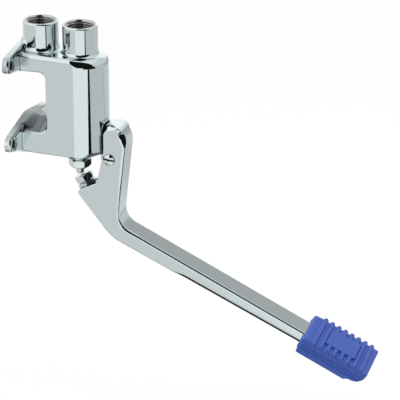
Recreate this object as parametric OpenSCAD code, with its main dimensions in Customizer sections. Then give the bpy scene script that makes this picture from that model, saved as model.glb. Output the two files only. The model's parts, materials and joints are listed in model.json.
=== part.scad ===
// Wall-mounted foot pedal valve for one water supply.
// The wall is the plane X = 0 and the pedal points along +X. Y = 0 is the plane of symmetry, +Z is up,
// and the origin lies on the wall in the middle of the four screw holes. All sizes are in millimetres.

/* [Wall fixing] */
// Distance between the two screw holes of one flange
hole_span = 76; // [70:1:84]
// Height between the upper and the lower screw holes
hole_rise = 60; // [58:1:64]
// Diameter of the screw holes
hole_d = 6.5; // [5:0.5:7]
// Thickness of the flanges
flange_t = 6; // [5:0.5:8]
// Radius of the round lug at each end of a flange
lug_r = 6.2; // [6:0.2:8]
// Height of a flange's crown above its screw holes
crown_rise = 10.2; // [9.2:0.2:12]
// Width of the level top of a flange's crown
crown_w = 5; // [4:1:22]

/* [Body] */
// Distance from the wall to the outlet socket
wall_to_outlet = 15; // [14:0.5:18]
// Distance between the outlet socket and the inlet socket
socket_pitch = 30; // [29:0.5:34]
// Radius of the round front of the column
column_r = 20.6; // [20:0.2:23]
// Height of the body from its bottom face to its top face
body_h = 75; // [74:1:80]
// Height of the top face above the upper screw holes
top_over_holes = 1; // [0:0.5:3]
// Depth of the column behind the inlet axis
column_back = 21; // [19:0.5:22]
// Thickness of the upper arm
upper_arm_t = 11; // [10.5:0.5:13]
// Thickness of the lower arm at the column
lower_arm_t = 18.5; // [16:0.5:20]
// Rise of the lower arm's underside towards the wall
lower_arm_rise = 2.4; // [0:0.2:4]
// Radius of the inside corners between column and arms
gap_r = 5; // [3:0.5:6]
// Radius of the rounded edges of the body
edge_r = 3; // [1.5:0.5:4]
// Diameter of the tapered boss under the column, at its foot
under_boss_d = 27; // [24:0.5:30]
// Diameter of the tapered boss at its end
under_end_d = 20; // [18:0.5:22]
// Height of the tapered boss
under_boss_h = 5; // [4:0.5:6]

/* [Sockets] */
// Outer diameter of a socket
socket_d = 26; // [25:0.5:28]
// Height of the inlet socket above the top face
inlet_h = 22; // [21:0.5:25]
// Height of the outlet socket above the top face
outlet_h = 23; // [21:0.5:25]
// Minor diameter of the G 1/2 pipe thread
thread_d = 18.63; // [18:0.01:19.2]
// Depth of the pipe thread
thread_depth = 13; // [11:0.5:13]
// Diameter of the countersunk mouth
mouth_d = 22; // [21:0.5:23]
// Radius of the blend at a socket's foot
socket_blend = 3; // [1:0.5:4]

/* [Valve] */
// Distance of the valve's axis behind the inlet socket's axis
valve_back = 2; // [0:0.5:2]
// Bore of the seat
seat_bore = 9.5; // [9:0.1:10]
// Height of the seat ring without its lip
seat_h = 3.5; // [3:0.5:4]
// Depth of the seat's ledge below the top face
seat_drop = 6; // [5.5:0.5:7]
// Height of the raised lip on the seat
lip_h = 0.8; // [0.5:0.1:1.2]
// Diameter of the outlet chamber below the seat
outlet_d = 13; // [12:0.5:13.5]
// Height of the outlet chamber
chamber_h = 12.5; // [12:0.5:14]
// Diameter of the slanted passage to the outlet socket
passage_d = 7; // [5:0.5:7.5]
// Diameter of the spindle
spindle_d = 6; // [5.6:0.1:6.2]
// Diameter of the lower bore, for the bush and the spring
barrel_d = 11; // [10.8:0.1:11.6]
// Length of the spindle bush
bush_l = 10; // [8:0.5:12]
// Wire diameter of the return spring
wire_d = 1.1; // [0.9:0.1:1.2]
// Free height between the spindle clip and the gland nut
clip_room = 9; // [6:0.5:14]
// Working turns of the return spring
spring_turns = 10; // [8:1:11]
// Diameter of the rubber seat washer
washer_d = 12.4; // [12:0.1:12.8]
// Thickness of the rubber seat washer
washer_t = 2.5; // [2:0.5:3]

/* [Gland] */
// Width across flats of the gland nut
gland_af = 15; // [13:0.5:16]
// Height of the gland nut's hexagon
gland_hex_h = 7.2; // [6:0.2:7.4]
// Length of the gland nut's threaded shank
gland_shank_l = 12; // [9:0.5:13]
// Length of spindle below the gland nut
tip_out = 5.5; // [5.2:0.1:7]

/* [Pivot] */
// Distance of the pivot in front of the column
pivot_out = 2.9; // [2:0.1:4]
// Depth of the pivot below the column
pivot_drop = 2; // [1:0.5:3]
// Diameter of the pivot pin
pin_d = 8.5; // [7:0.5:8.5]
// Wall of the pivot bush
pivot_bush_t = 0.95; // [0.8:0.05:1.2]
// Width of the body's tongue between the lever's cheeks
tongue_w = 10; // [9:0.5:11]
// Radius of the tongue's round end
tongue_r = 8; // [8:0.5:8.5]

/* [Lever] */
// Width of the lever
lever_w = 20; // [19:0.5:23]
// Height of the lever's head above the pivot
head_rise = 27.8; // [27:0.2:32]
// Distance of the head's back face behind the pivot
head_back = 4.3; // [4:0.1:5]
// Distance of the head's front face before the pivot, at its top
head_front = 14.5; // [14:0.5:17]
// Radius of the rounded top of the head
head_r = 8.8; // [6:0.2:9]
// Distance of the bend before the pivot
bend_out = 6.1; // [5:0.5:9]
// Depth of the bend below the pivot
bend_drop = 50.7; // [48:0.5:56]
// Radius inside the bend
bend_r = 14; // [10:1:18]
// Slope of the arm below level, in degrees
arm_slope = 26.3; // [24:0.5:29]
// Thickness of the arm at the bend
arm_root_h = 12; // [11:0.5:14]
// Thickness of the arm at the pedal
arm_tip_h = 9.6; // [9:0.2:10]
// Length of the arm from the bend to the pedal boot
arm_l = 160; // [140:5:200]
// Slope of the heel's underside, in degrees
heel_slope = 52; // [48:1:56]
// Length of the heel's top behind the adjusting screw
heel_back = 6.7; // [6:0.1:10]
// Length of the heel's top before the adjusting screw
heel_front = 11.2; // [10:0.2:12]
// Radius of the heel's corner
heel_r = 2.5; // [1:0.5:3]

/* [Adjusting screw] */
// Tilt of the adjusting screw from upright, in degrees
screw_tilt = 26.5; // [24:0.5:29]
// Diameter of the adjusting screw
screw_d = 8; // [6:0.5:8]
// Width across flats of the screw head and the lock nut
screw_af = 13; // [10:0.5:13]
// Height of the screw head
screw_head_h = 5.3; // [4:0.1:5.5]
// Length of bare screw between head and lock nut
screw_show = 0.8; // [0.5:0.1:3]
// Thickness of the lock nut
lock_nut_t = 3.5; // [2.5:0.1:4]
// Outer diameter of the lock washer
lock_washer_d = 14; // [12:0.5:14.5]
// Thickness of the lock washer
lock_washer_t = 1.3; // [1:0.1:1.6]
// Length of screw inside the heel
screw_in = 8.5; // [7:0.5:8.5]
// Depth of the spot face under the lock washer
spot_depth = 2.3; // [1:0.1:2.5]

/* [Pedal] */
// Length of the pedal boot
boot_l = 53; // [48:1:64]
// Width of the pedal boot
boot_w = 44; // [40:1:54]
// Height of the boot's top above the arm
boot_over = 1.8; // [1:0.1:2]
// Depth of the boot's underside below the arm
boot_under = 1.2; // [1:0.1:2]
// Radius of the rounded toe under the boot's outer end
toe_r = 8.5; // [4:0.5:10]
// Radius of the boot's corners seen from above
boot_r = 4; // [2:0.5:6]
// Wall of the boot round the foot plate
boot_wall = 4; // [3:0.5:5]
// Number of ribs on the boot
rib_count = 8; // [6:1:8]
// Distance between ribs
rib_pitch = 5.6; // [4.5:0.1:5.6]
// Width of a rib
rib_w = 2.8; // [2:0.1:3]
// Height of the ribs above the boot's top
rib_h = 1.8; // [1:0.1:2]
// Distance of the last rib from the boot's outer end
rib_end = 5; // [4:0.5:8]
// Length of the bare panel between the ribs
panel_l = 24; // [18:1:26]
// Width of the bare panel between the ribs
panel_w = 24; // [16:1:28]

/* [Hidden] */
$fn = 96;

// Clearances
press_clear = 0.02;
run_clear = 0.05;
thread_clear = 0.1;
side_clear = 0.3;
tip_gap = 0.3;
swing_clear = 0.8;

// Body levels and places
column_x = wall_to_outlet + socket_pitch;
spindle_x = column_x - valve_back;
side_inset = 0.3;
side_y = column_r - side_inset;
top_z = hole_rise / 2 + top_over_holes;
bottom_z = top_z - body_h;
inlet_rim_z = top_z + inlet_h;
outlet_rim_z = top_z + outlet_h;
gap_x = column_x - column_back;
gap_top = top_z - upper_arm_t;
gap_bottom = bottom_z + lower_arm_t;
under_z = bottom_z - under_boss_h;
mouth_depth = (mouth_d - thread_d) / 2;
rim_chamfer = 0.8;
blend_sink = 0.15;
spot_rim = 2.25;
spot_face_depth = 0.6;
past = 1;

// Valve levels, from the seat down to the gland
seat_d = thread_d - 2 * valve_back - 2 * thread_clear;
ledge_z = top_z - seat_drop;
lip_z = ledge_z + seat_h + lip_h;
lip_w = 1.1;
outlet_floor = ledge_z - chamber_h;
guide_web_t = 2;
bush_top = outlet_floor - guide_web_t;
bush_bottom = bush_top - bush_l;
spring_washer_t = 1;
spring_top = bush_bottom - spring_washer_t;
gland_washer_t = 1;
hex_top = under_z - gland_washer_t;
hex_bottom = hex_top - gland_hex_h;
gland_turn = 1;
collar_t = 1;
clip_t = 0.8;
clip_clear = 0.7;
clip_z = hex_top + gland_shank_l + clip_room;
spring_bottom = clip_z + clip_t + collar_t;
outlet_well_drop = 7.5;
outlet_well_z = top_z - outlet_well_drop;
passage_inner_rise = 5.5;
passage_outer_rise = 3;

// Seals: round rings in square grooves
ring_d = 1.7;
groove_h = 2.2;
groove_r = spindle_d / 2 + run_clear + ring_d + run_clear;
bush_ring_z = (bush_top + bush_bottom) / 2;
gland_ring_z = hex_bottom + 3;

// Spindle
tip_r = 4;
tip_z = hex_bottom - tip_out;
tip_centre = [spindle_x, tip_z + tip_r];
neck_d = 5;
neck_show = 0.5;
collar_d = 7;
collar_h = 1.5;
disc_rim = 0.2;
disc_t = 1.6;
disc_z = lip_z + washer_t;
nut_t = 3;
nut_af = 8;
nut_z = disc_z + disc_t;
neck_top = nut_z + nut_t + neck_show;
clip_neck_d = 4.5;

// Spring wire
spring_clear = 0.5;
spring_mean_r = barrel_d / 2 - spring_clear - wire_d / 2;
rings_per_turn = 8;
wire_sides = 6;

// Pivot and lever outline, in the X-Z plane
pivot = [column_x + column_r + pivot_out, bottom_z - pivot_drop];
pin_r = pin_d / 2;
pivot_bore_r = pin_r + run_clear + pivot_bush_t + press_clear;
slot_w = tongue_w + 2 * side_clear;
slot_r = tongue_r + swing_clear;
head_top = pivot[1] + head_rise;
head_cap = 5.3;
slot_top = head_top - head_cap;
tongue_rise = 17;
tongue_shoulder = 1.5;
cheek_swell = 1.1;
pin_dome = 0.6;
bend = pivot + [bend_out, -bend_drop];
along = [cos(arm_slope), -sin(arm_slope)];
upward = [sin(arm_slope), cos(arm_slope)];
plate_wall = 1.6;
plate_start = arm_l + boot_wall;
plate_lap = 3;
arm_end = bend + along * (plate_start + plate_lap);
arm_taper = (arm_root_h - arm_tip_h) / arm_l;
arm_under = bend - upward * arm_root_h;
arm_under_way = along + upward * arm_taper;

// Adjusting screw and heel
screw_up = [-sin(screw_tilt), cos(screw_tilt)];
screw_side = [cos(screw_tilt), sin(screw_tilt)];
screw_head_top = tip_centre - screw_up * (tip_r + tip_gap);
screw_stack = screw_head_h + screw_show + lock_nut_t + lock_washer_t;
screw_seat = screw_head_top - screw_up * screw_stack;
heel_top = screw_seat + screw_up * spot_depth;
heel_corner = heel_top - screw_side * heel_back;
heel_way = [cos(heel_slope), -sin(heel_slope)];
heel_turn_r = 40;
screw_turn = 0.5;
spot_clear = 0.8;
drill_room = 0.5;

// Pedal
boot_h = boot_over + arm_tip_h + boot_under;
plate_w = boot_w - 2 * boot_wall;
plate_h = boot_h - 2 * plate_wall - 2 * press_clear;
plate_l = boot_l - boot_wall - toe_r;
rib_first = boot_l - rib_end - rib_pitch * (rib_count - 1);
panel_mid = rib_first + rib_pitch * (rib_count - 1) / 2;

chrome = [0.78, 0.8, 0.82];
brass = [0.78, 0.63, 0.33];
steel = [0.6, 0.62, 0.64];
bronze = [0.65, 0.47, 0.28];
black_rubber = [0.1, 0.1, 0.1];
blue_rubber = [0.27, 0.34, 0.7];

// Geometry helpers

function unit(v) = v / norm(v);

// Point where the line from p touches a circle, on the side given by +1 or -1
function tangent_point(p, centre, r, side) =
    let (way = p - centre,
         turn = atan2(way[1], way[0]) + side * acos(r / norm(way)))
    centre + r * [cos(turn), sin(turn)];

// Point where the line through p along u crosses the line through q along v
function crossing(p, u, q, v) = p + u * cross(q - p, v) / cross(u, v);

// Arc of radius r that rounds the corner q between p and s
function corner_arc(p, q, s, r, steps = 12) =
    let (a = unit(p - q),
         b = unit(s - q),
         half = acos(a * b) / 2,
         centre = q + unit(a + b) * r / sin(half),
         from = q + a * r / tan(half) - centre,
         to = q + b * r / tan(half) - centre,
         start = atan2(from[1], from[0]),
         sweep = atan2(cross(from, to), from * to))
    [for (i = [0 : steps]) centre + r * [cos(start + sweep * i / steps), sin(start + sweep * i / steps)]];

// Outline through the corners, each rounded to its own radius
function rounded_outline(corners, radii) =
    let (n = len(corners))
    [for (i = [0 : n - 1])
        each radii[i] == 0
            ? [corners[i]]
            : corner_arc(corners[(i + n - 1) % n], corners[i], corners[(i + 1) % n], radii[i])];

// Draws a flat X-Z outline as a plate of width w across Y
module across_y(w) {
    rotate([90, 0, 0])
        linear_extrude(w, center = true)
            children();
}

// Draws a flat Y-Z outline as a plate from the wall to depth t
module off_wall(t) {
    rotate([90, 0, 90])
        linear_extrude(t)
            children();
}

// Puts children on the spindle's axis at height z
module on_spindle(z) {
    translate([spindle_x, 0, z])
        children();
}

module ring(outer_d, inner_d, h) {
    difference() {
        cylinder(d = outer_d, h = h);
        translate([0, 0, -past])
            cylinder(d = inner_d, h = h + 2 * past);
    }
}

module hexagon(across_flats, h) {
    cylinder(d = across_flats / cos(30), h = h, $fn = 6);
}

// Hexagon with one end turned down to a cone, as nuts and screw heads have
module turned_hexagon(across_flats, h, turn) {
    intersection() {
        hexagon(across_flats, h);
        rotate_extrude()
            polygon([[0, 0], [across_flats / 2 - turn, 0], [across_flats / 2 + turn, 2 * turn],
                     [across_flats / 2 + turn, h], [0, h]]);
    }
}

// Puts children on the adjusting screw's axis, at a distance above the heel's seat
module on_screw(height) {
    translate([screw_seat[0], 0, screw_seat[1]])
        rotate([0, -screw_tilt, 0])
            translate([0, 0, height])
                children();
}

// Puts children in the arm's frame: X along the arm, Z square to it, the origin on top at the bend
module on_arm() {
    translate([bend[0], 0, bend[1]])
        rotate([0, arm_slope, 0])
            children();
}

// Body casting

module rounded_bar(half_w, low, high, r) {
    translate([-half_w + r, low])
        square([2 * (half_w - r), high - low]);
    translate([-half_w, low + r])
        square([2 * half_w, high - low - 2 * r]);
    for (x = [-half_w + r, half_w - r], y = [low + r, high - r])
        translate([x, y])
            circle(r);
}

module body_block() {
    translate([column_x, 0, 0])
        rotate_extrude()
            intersection() {
                rounded_bar(column_r, bottom_z, top_z, edge_r);
                translate([0, bottom_z])
                    square([column_r, body_h]);
            }
    off_wall(column_x)
        rounded_bar(side_y, bottom_z, top_z, edge_r);
}

// Side view of the body: the gap between the arms, and the slanted underside of the lower arm
module body_side_cuts() {
    translate([-past, gap_bottom])
        square([gap_x - gap_r + past, gap_top - gap_bottom]);
    translate([-past, gap_bottom + gap_r])
        square([gap_x + past, gap_top - gap_bottom - 2 * gap_r]);
    for (z = [gap_bottom + gap_r, gap_top - gap_r])
        translate([gap_x - gap_r, z])
            circle(gap_r);
    polygon([[-past, bottom_z - past], [gap_x + edge_r, bottom_z - past], [gap_x + edge_r, bottom_z],
             [0, bottom_z + lower_arm_rise], [-past, bottom_z + lower_arm_rise]]);
}

// Flange seen from the front: two round lugs, a raised crown and a level foot
module flange_outline(hole_z, foot_z) {
    crown_z = hole_z + crown_rise;
    for (side = [-1, 1]) {
        lug = [side * hole_span / 2, hole_z];
        crown = [side * crown_w / 2, crown_z];
        foot = [side * side_y, foot_z];
        translate(lug)
            circle(lug_r);
        polygon([[0, crown_z], crown, tangent_point(crown, lug, lug_r, -side),
                 tangent_point(foot, lug, lug_r, side), foot, [0, foot_z]]);
    }
}

module socket(x, h) {
    translate([x, 0, top_z]) {
        rotate_extrude()
            polygon([[0, -past], [socket_d / 2, -past], [socket_d / 2, h - rim_chamfer],
                     [socket_d / 2 - rim_chamfer, h], [0, h]]);
        rotate_extrude()
            difference() {
                translate([socket_d / 2 - past, -past])
                    square([socket_blend + past, socket_blend + past]);
                translate([socket_d / 2 + socket_blend, socket_blend - blend_sink])
                    circle(socket_blend);
            }
    }
}

// Tapped bore with a countersunk mouth, and the well below it
module socket_bore(x, rim_z, well_x, well_d, well_z) {
    thread_end = rim_z - thread_depth;
    translate([x, 0, thread_end])
        cylinder(d = thread_d, h = thread_depth + past);
    translate([x, 0, rim_z - mouth_depth])
        cylinder(d1 = thread_d, d2 = mouth_d + 2 * past, h = mouth_depth + past);
    translate([well_x, 0, well_z])
        cylinder(d = well_d, h = thread_end - well_z + past);
}

// Tongue below the column's front, which carries the pivot
module tongue() {
    tongue_top = pivot[1] + tongue_rise;
    shoulder = [pivot[0] - tongue_shoulder, tongue_top];
    root_x = column_x + column_r / 2;
    across_y(tongue_w) {
        translate(pivot)
            circle(tongue_r);
        polygon([[root_x, tongue_top], shoulder, tangent_point(shoulder, pivot, tongue_r, -1), pivot,
                 [pivot[0] - tongue_r / 2, bottom_z + past], [root_x, bottom_z + past]]);
    }
}

module passage() {
    inner = [spindle_x, outlet_floor + passage_inner_rise];
    outer = [wall_to_outlet, outlet_well_z + passage_outer_rise];
    way = inner - outer;
    translate([outer[0], 0, outer[1]])
        rotate([0, atan2(way[0], way[1]), 0])
            cylinder(d = passage_d, h = norm(way));
}

module valve_body() {
    color(chrome)
        difference() {
            union() {
                difference() {
                    body_block();
                    across_y(2 * column_r + 2 * past)
                        body_side_cuts();
                }
                off_wall(flange_t)
                    flange_outline(hole_rise / 2, gap_top);
                off_wall(flange_t)
                    flange_outline(-hole_rise / 2, bottom_z + lower_arm_rise);
                intersection() {
                    union() {
                        socket(wall_to_outlet, outlet_h);
                        socket(column_x, inlet_h);
                    }
                    translate([0, -column_r, top_z - 2 * past])
                        cube([2 * column_x, 2 * column_r, max(inlet_h, outlet_h) + 3 * past]);
                }
                tongue();
                on_spindle(under_z)
                    cylinder(d1 = under_end_d, d2 = under_boss_d, h = under_boss_h);
            }
            socket_bore(wall_to_outlet, outlet_rim_z, wall_to_outlet, outlet_d, outlet_well_z);
            socket_bore(column_x, inlet_rim_z, spindle_x, seat_d, ledge_z);
            passage();
            on_spindle(outlet_floor)
                cylinder(d = outlet_d, h = chamber_h + past);
            on_spindle(bush_top - past)
                cylinder(d = spindle_d + 2 * side_clear, h = guide_web_t + 2 * past);
            on_spindle(under_z - past)
                cylinder(d = barrel_d, h = bush_top - under_z + past);
            translate([pivot[0], 0, pivot[1]])
                rotate([90, 0, 0])
                    cylinder(r = pivot_bore_r, h = tongue_w + 2 * past, center = true);
            for (y = [-hole_span / 2, hole_span / 2], z = [-hole_rise / 2, hole_rise / 2])
                translate([0, y, z])
                    rotate([0, 90, 0]) {
                        translate([0, 0, -past])
                            cylinder(d = hole_d, h = flange_t + 2 * past);
                        translate([0, 0, flange_t - spot_face_depth])
                            cylinder(d = hole_d + 2 * spot_rim, h = spot_face_depth + past);
                    }
        }
}

// Pieces fixed inside the body

module valve_seat() {
    color(brass)
        on_spindle(ledge_z) {
            ring(seat_d - 2 * press_clear, seat_bore, seat_h);
            ring(seat_bore + 2 * lip_w, seat_bore, seat_h + lip_h);
        }
}

module spindle_bush() {
    color(bronze)
        difference() {
            on_spindle(bush_bottom)
                ring(barrel_d - 2 * press_clear, spindle_d + 2 * run_clear, bush_l);
            on_spindle(bush_ring_z - groove_h / 2)
                cylinder(r = groove_r, h = groove_h);
        }
}

// Round sealing ring that just clears the spindle
module spindle_seal(z) {
    on_spindle(z)
        rotate_extrude()
            translate([spindle_d / 2 + run_clear + ring_d / 2, 0])
                circle(d = ring_d);
}

module bush_seal() {
    color(black_rubber)
        spindle_seal(bush_ring_z);
}

module spring_washer() {
    color(steel)
        on_spindle(spring_top)
            ring(barrel_d - 2 * side_clear, spindle_d + 2 * side_clear, spring_washer_t);
}

// Centre line of the spring wire: the turns, with a short straight end at each side
spring_pitch = (spring_top - spring_bottom - wire_d) / spring_turns;
spring_steps = spring_turns * rings_per_turn;
function coil_point(i) =
    let (turn = 360 * i / rings_per_turn)
    [spring_mean_r * cos(turn), spring_mean_r * sin(turn), spring_pitch * i / rings_per_turn];
spring_path = concat(
    [coil_point(0) - [0, wire_d, 0]],
    [for (i = [0 : spring_steps]) coil_point(i)],
    [coil_point(spring_steps) + [0, wire_d, 0]]
);
spring_self_gap = min([
    for (i = [0 : spring_steps], j = [i + rings_per_turn / 2 : spring_steps])
        norm(coil_point(i) - coil_point(j))
]) - wire_d;
echo(spring_self_gap = spring_self_gap);

// Six-sided tube along a path, with flat ends
module wire_tube(path, d, sides) {
    last = len(path) - 1;
    points = [
        for (i = [0 : last])
            let (way = unit(path[min(i + 1, last)] - path[max(i - 1, 0)]),
                 out = unit(cross(way, [0, 0, 1])),
                 up = cross(out, way))
            for (k = [0 : sides - 1])
                path[i] + d / 2 * (out * cos(360 * k / sides) + up * sin(360 * k / sides))
    ];
    skin = [
        for (i = [0 : last - 1], k = [0 : sides - 1])
            let (a = i * sides + k,
                 b = i * sides + (k + 1) % sides)
            each [[a, b, b + sides], [a, b + sides, a + sides]]
    ];
    ends = [
        for (k = [1 : sides - 2])
            each [[0, k + 1, k], [last * sides, last * sides + k, last * sides + k + 1]]
    ];
    polyhedron(points, concat(skin, ends));
}

module return_spring() {
    color(steel)
        on_spindle(spring_bottom + wire_d / 2)
            wire_tube(spring_path, wire_d, wire_sides);
}

module gland_nut() {
    color(chrome)
        difference() {
            union() {
                on_spindle(hex_bottom)
                    turned_hexagon(gland_af, gland_hex_h, gland_turn);
                on_spindle(hex_top)
                    cylinder(d = barrel_d - 2 * thread_clear, h = gland_shank_l);
            }
            on_spindle(hex_bottom - past)
                cylinder(d = spindle_d + 2 * run_clear, h = gland_hex_h + gland_shank_l + 2 * past);
            on_spindle(gland_ring_z - groove_h / 2)
                cylinder(r = groove_r, h = groove_h);
        }
}

module gland_washer() {
    color(bronze)
        on_spindle(hex_top)
            ring(gland_af, barrel_d + 2 * thread_clear, gland_washer_t);
}

module gland_seal() {
    color(black_rubber)
        spindle_seal(gland_ring_z);
}

module pivot_bush() {
    color(bronze)
        translate([pivot[0], tongue_w / 2, pivot[1]])
            rotate([90, 0, 0])
                ring(2 * (pivot_bore_r - press_clear), pin_d + 2 * run_clear, tongue_w);
}

// Pieces that rise with the spindle

module spindle() {
    color(steel)
        difference() {
            union() {
                intersection() {
                    on_spindle(tip_z)
                        cylinder(d = spindle_d, h = lip_z - tip_z);
                    union() {
                        translate([tip_centre[0], 0, tip_centre[1]])
                            sphere(tip_r);
                        on_spindle(tip_centre[1])
                            cylinder(r = tip_r, h = lip_z - tip_centre[1]);
                    }
                }
                on_spindle(lip_z - collar_h)
                    cylinder(d = collar_d, h = collar_h);
                on_spindle(lip_z - past)
                    cylinder(d = neck_d, h = neck_top - lip_z + past);
            }
            on_spindle(clip_z)
                ring(spindle_d + past, clip_neck_d, clip_t);
        }
}

module seat_washer() {
    color(black_rubber)
        on_spindle(lip_z)
            ring(washer_d, neck_d + 2 * press_clear, washer_t);
}

module disc_holder() {
    color(brass)
        on_spindle(disc_z)
            ring(washer_d + 2 * disc_rim, neck_d + 2 * press_clear, disc_t);
}

module disc_nut() {
    color(brass)
        on_spindle(nut_z)
            difference() {
                hexagon(nut_af, nut_t);
                translate([0, 0, -past])
                    cylinder(d = neck_d + 2 * press_clear, h = nut_t + 2 * past);
            }
}

module spring_collar() {
    color(steel)
        on_spindle(spring_bottom - collar_t)
            ring(barrel_d - 2 * side_clear, spindle_d + 2 * run_clear, collar_t);
}

// Open retaining clip in the spindle's groove
module spindle_clip() {
    clip_d = barrel_d - 2 * clip_clear;
    color(steel)
        on_spindle(clip_z)
            difference() {
                ring(clip_d, clip_neck_d + 2 * press_clear, clip_t);
                translate([0, -clip_neck_d / 3, -past])
                    cube([clip_d, 2 * clip_neck_d / 3, clip_t + 2 * past]);
            }
}

// Lever and the pieces on it

module lever_outline() {
    heel_inner = heel_top + screw_side * heel_front;
    heel_turn = crossing(heel_corner, heel_way, arm_under, arm_under_way);
    cheek_back = pivot - [head_back + cheek_swell, 0];
    arm_end_under = arm_under + arm_under_way * (plate_start + plate_lap);
    polygon(rounded_outline(
        [[pivot[0] - head_back, head_top], [pivot[0] + head_front, head_top], bend, arm_end, arm_end_under,
         heel_turn, heel_corner, heel_inner, cheek_back],
        [head_r, head_r, bend_r, 0, 0, heel_turn_r, heel_r, heel_r, bend_r]));
}

// Slot between the cheeks, open towards the wall, for the body's tongue
module fork_slot() {
    across_y(slot_w) {
        translate([pivot[0] - 2 * slot_r, pivot[1]])
            square([3 * slot_r, slot_top - pivot[1]]);
        translate([pivot[0] - 2 * slot_r, pivot[1] - slot_r])
            square([2 * slot_r, slot_r + past]);
        translate(pivot)
            circle(slot_r);
    }
}

module foot_plate() {
    on_arm()
        translate([plate_start, -plate_w / 2, boot_over - boot_h + plate_wall + press_clear])
            cube([plate_l, plate_w, plate_h]);
}

module lever() {
    color(chrome)
        difference() {
            union() {
                across_y(lever_w)
                    lever_outline();
                foot_plate();
            }
            fork_slot();
            translate([column_x, 0, bottom_z])
                cylinder(r = column_r + swing_clear, h = body_h);
            translate([pivot[0], 0, pivot[1]])
                rotate([90, 0, 0])
                    cylinder(r = pin_r + press_clear, h = lever_w + 2 * past, center = true);
            on_screw(0)
                cylinder(d = lock_washer_d + 2 * spot_clear, h = spot_depth + 3 * past);
            on_screw(-screw_in - drill_room)
                cylinder(d = screw_d + 2 * press_clear, h = screw_in + drill_room + past);
        }
}

// Pin pressed into both cheeks, with slightly domed ends
module pivot_pin() {
    dome_r = (pin_r * pin_r + pin_dome * pin_dome) / (2 * pin_dome);
    pin_l = lever_w + 2 * pin_dome;
    color(chrome)
        translate([pivot[0], 0, pivot[1]])
            rotate([90, 0, 0])
                intersection() {
                    cylinder(r = pin_r, h = pin_l, center = true);
                    translate([0, 0, pin_l / 2 - dome_r])
                        sphere(dome_r);
                    translate([0, 0, dome_r - pin_l / 2])
                        sphere(dome_r);
                }
}

module adjusting_screw() {
    head_under = screw_stack - screw_head_h;
    color(chrome) {
        on_screw(screw_stack)
            mirror([0, 0, 1])
                rotate([0, 0, 30])
                    turned_hexagon(screw_af, screw_head_h, screw_turn);
        on_screw(-screw_in)
            cylinder(d = screw_d, h = screw_in + head_under + past);
    }
}

module lock_nut() {
    color(steel)
        on_screw(lock_washer_t)
            rotate([0, 0, 30])
                difference() {
                    hexagon(screw_af, lock_nut_t);
                    translate([0, 0, -past])
                        cylinder(d = screw_d + 2 * press_clear, h = lock_nut_t + 2 * past);
                }
}

module lock_washer() {
    color(steel)
        on_screw(0)
            ring(lock_washer_d, screw_d + 2 * press_clear, lock_washer_t);
}

// Boot seen from above, in the arm's frame
module boot_plan() {
    translate([0, boot_r - boot_w / 2])
        square([boot_l, boot_w - 2 * boot_r]);
    translate([boot_r, -boot_w / 2])
        square([boot_l - 2 * boot_r, boot_w]);
    for (x = [boot_r, boot_l - boot_r], y = [boot_r - boot_w / 2, boot_w / 2 - boot_r])
        translate([x, y])
            circle(boot_r);
}

// Boot seen from the side, with its toe rounded underneath
module boot_side() {
    translate([0, -boot_h])
        square([boot_l - toe_r, boot_h]);
    translate([0, toe_r - boot_h])
        square([boot_l, boot_h - toe_r]);
    translate([boot_l - toe_r, toe_r - boot_h])
        circle(toe_r);
}

// One rib across the boot, round on top
module boot_rib() {
    r = (rib_w * rib_w / 4 + rib_h * rib_h) / (2 * rib_h);
    intersection() {
        translate([0, 0, rib_h - r])
            rotate([90, 0, 0])
                cylinder(r = r, h = boot_w, center = true);
        translate([-rib_w / 2, -boot_w / 2, -past])
            cube([rib_w, boot_w, past + rib_h]);
    }
}

module pedal_boot() {
    color(blue_rubber)
        difference() {
            on_arm()
                translate([arm_l, 0, boot_over]) {
                    intersection() {
                        translate([0, 0, -boot_h])
                            linear_extrude(boot_h)
                                boot_plan();
                        across_y(boot_w)
                            boot_side();
                    }
                    for (i = [0 : rib_count - 1])
                        translate([rib_first + i * rib_pitch, 0, 0])
                            boot_rib();
                    translate([panel_mid - panel_l / 2, -panel_w / 2, -past])
                        cube([panel_l, panel_w, past + rib_h]);
                }
            across_y(lever_w + 2 * press_clear)
                lever_outline();
            foot_plate();
        }
}

valve_body();
valve_seat();
spindle_bush();
bush_seal();
spring_washer();
return_spring();
gland_nut();
gland_washer();
gland_seal();
pivot_bush();
spindle();
seat_washer();
disc_holder();
disc_nut();
spring_collar();
spindle_clip();
lever();
pivot_pin();
adjusting_screw();
lock_nut();
lock_washer();
pedal_boot();
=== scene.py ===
"""Foot pedal tap valve: castings, threads, fittings, rubber boot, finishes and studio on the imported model."""

import functools
import itertools
import json
import math

import bpy
import numpy as np
from mathutils import Matrix, Vector

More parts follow.
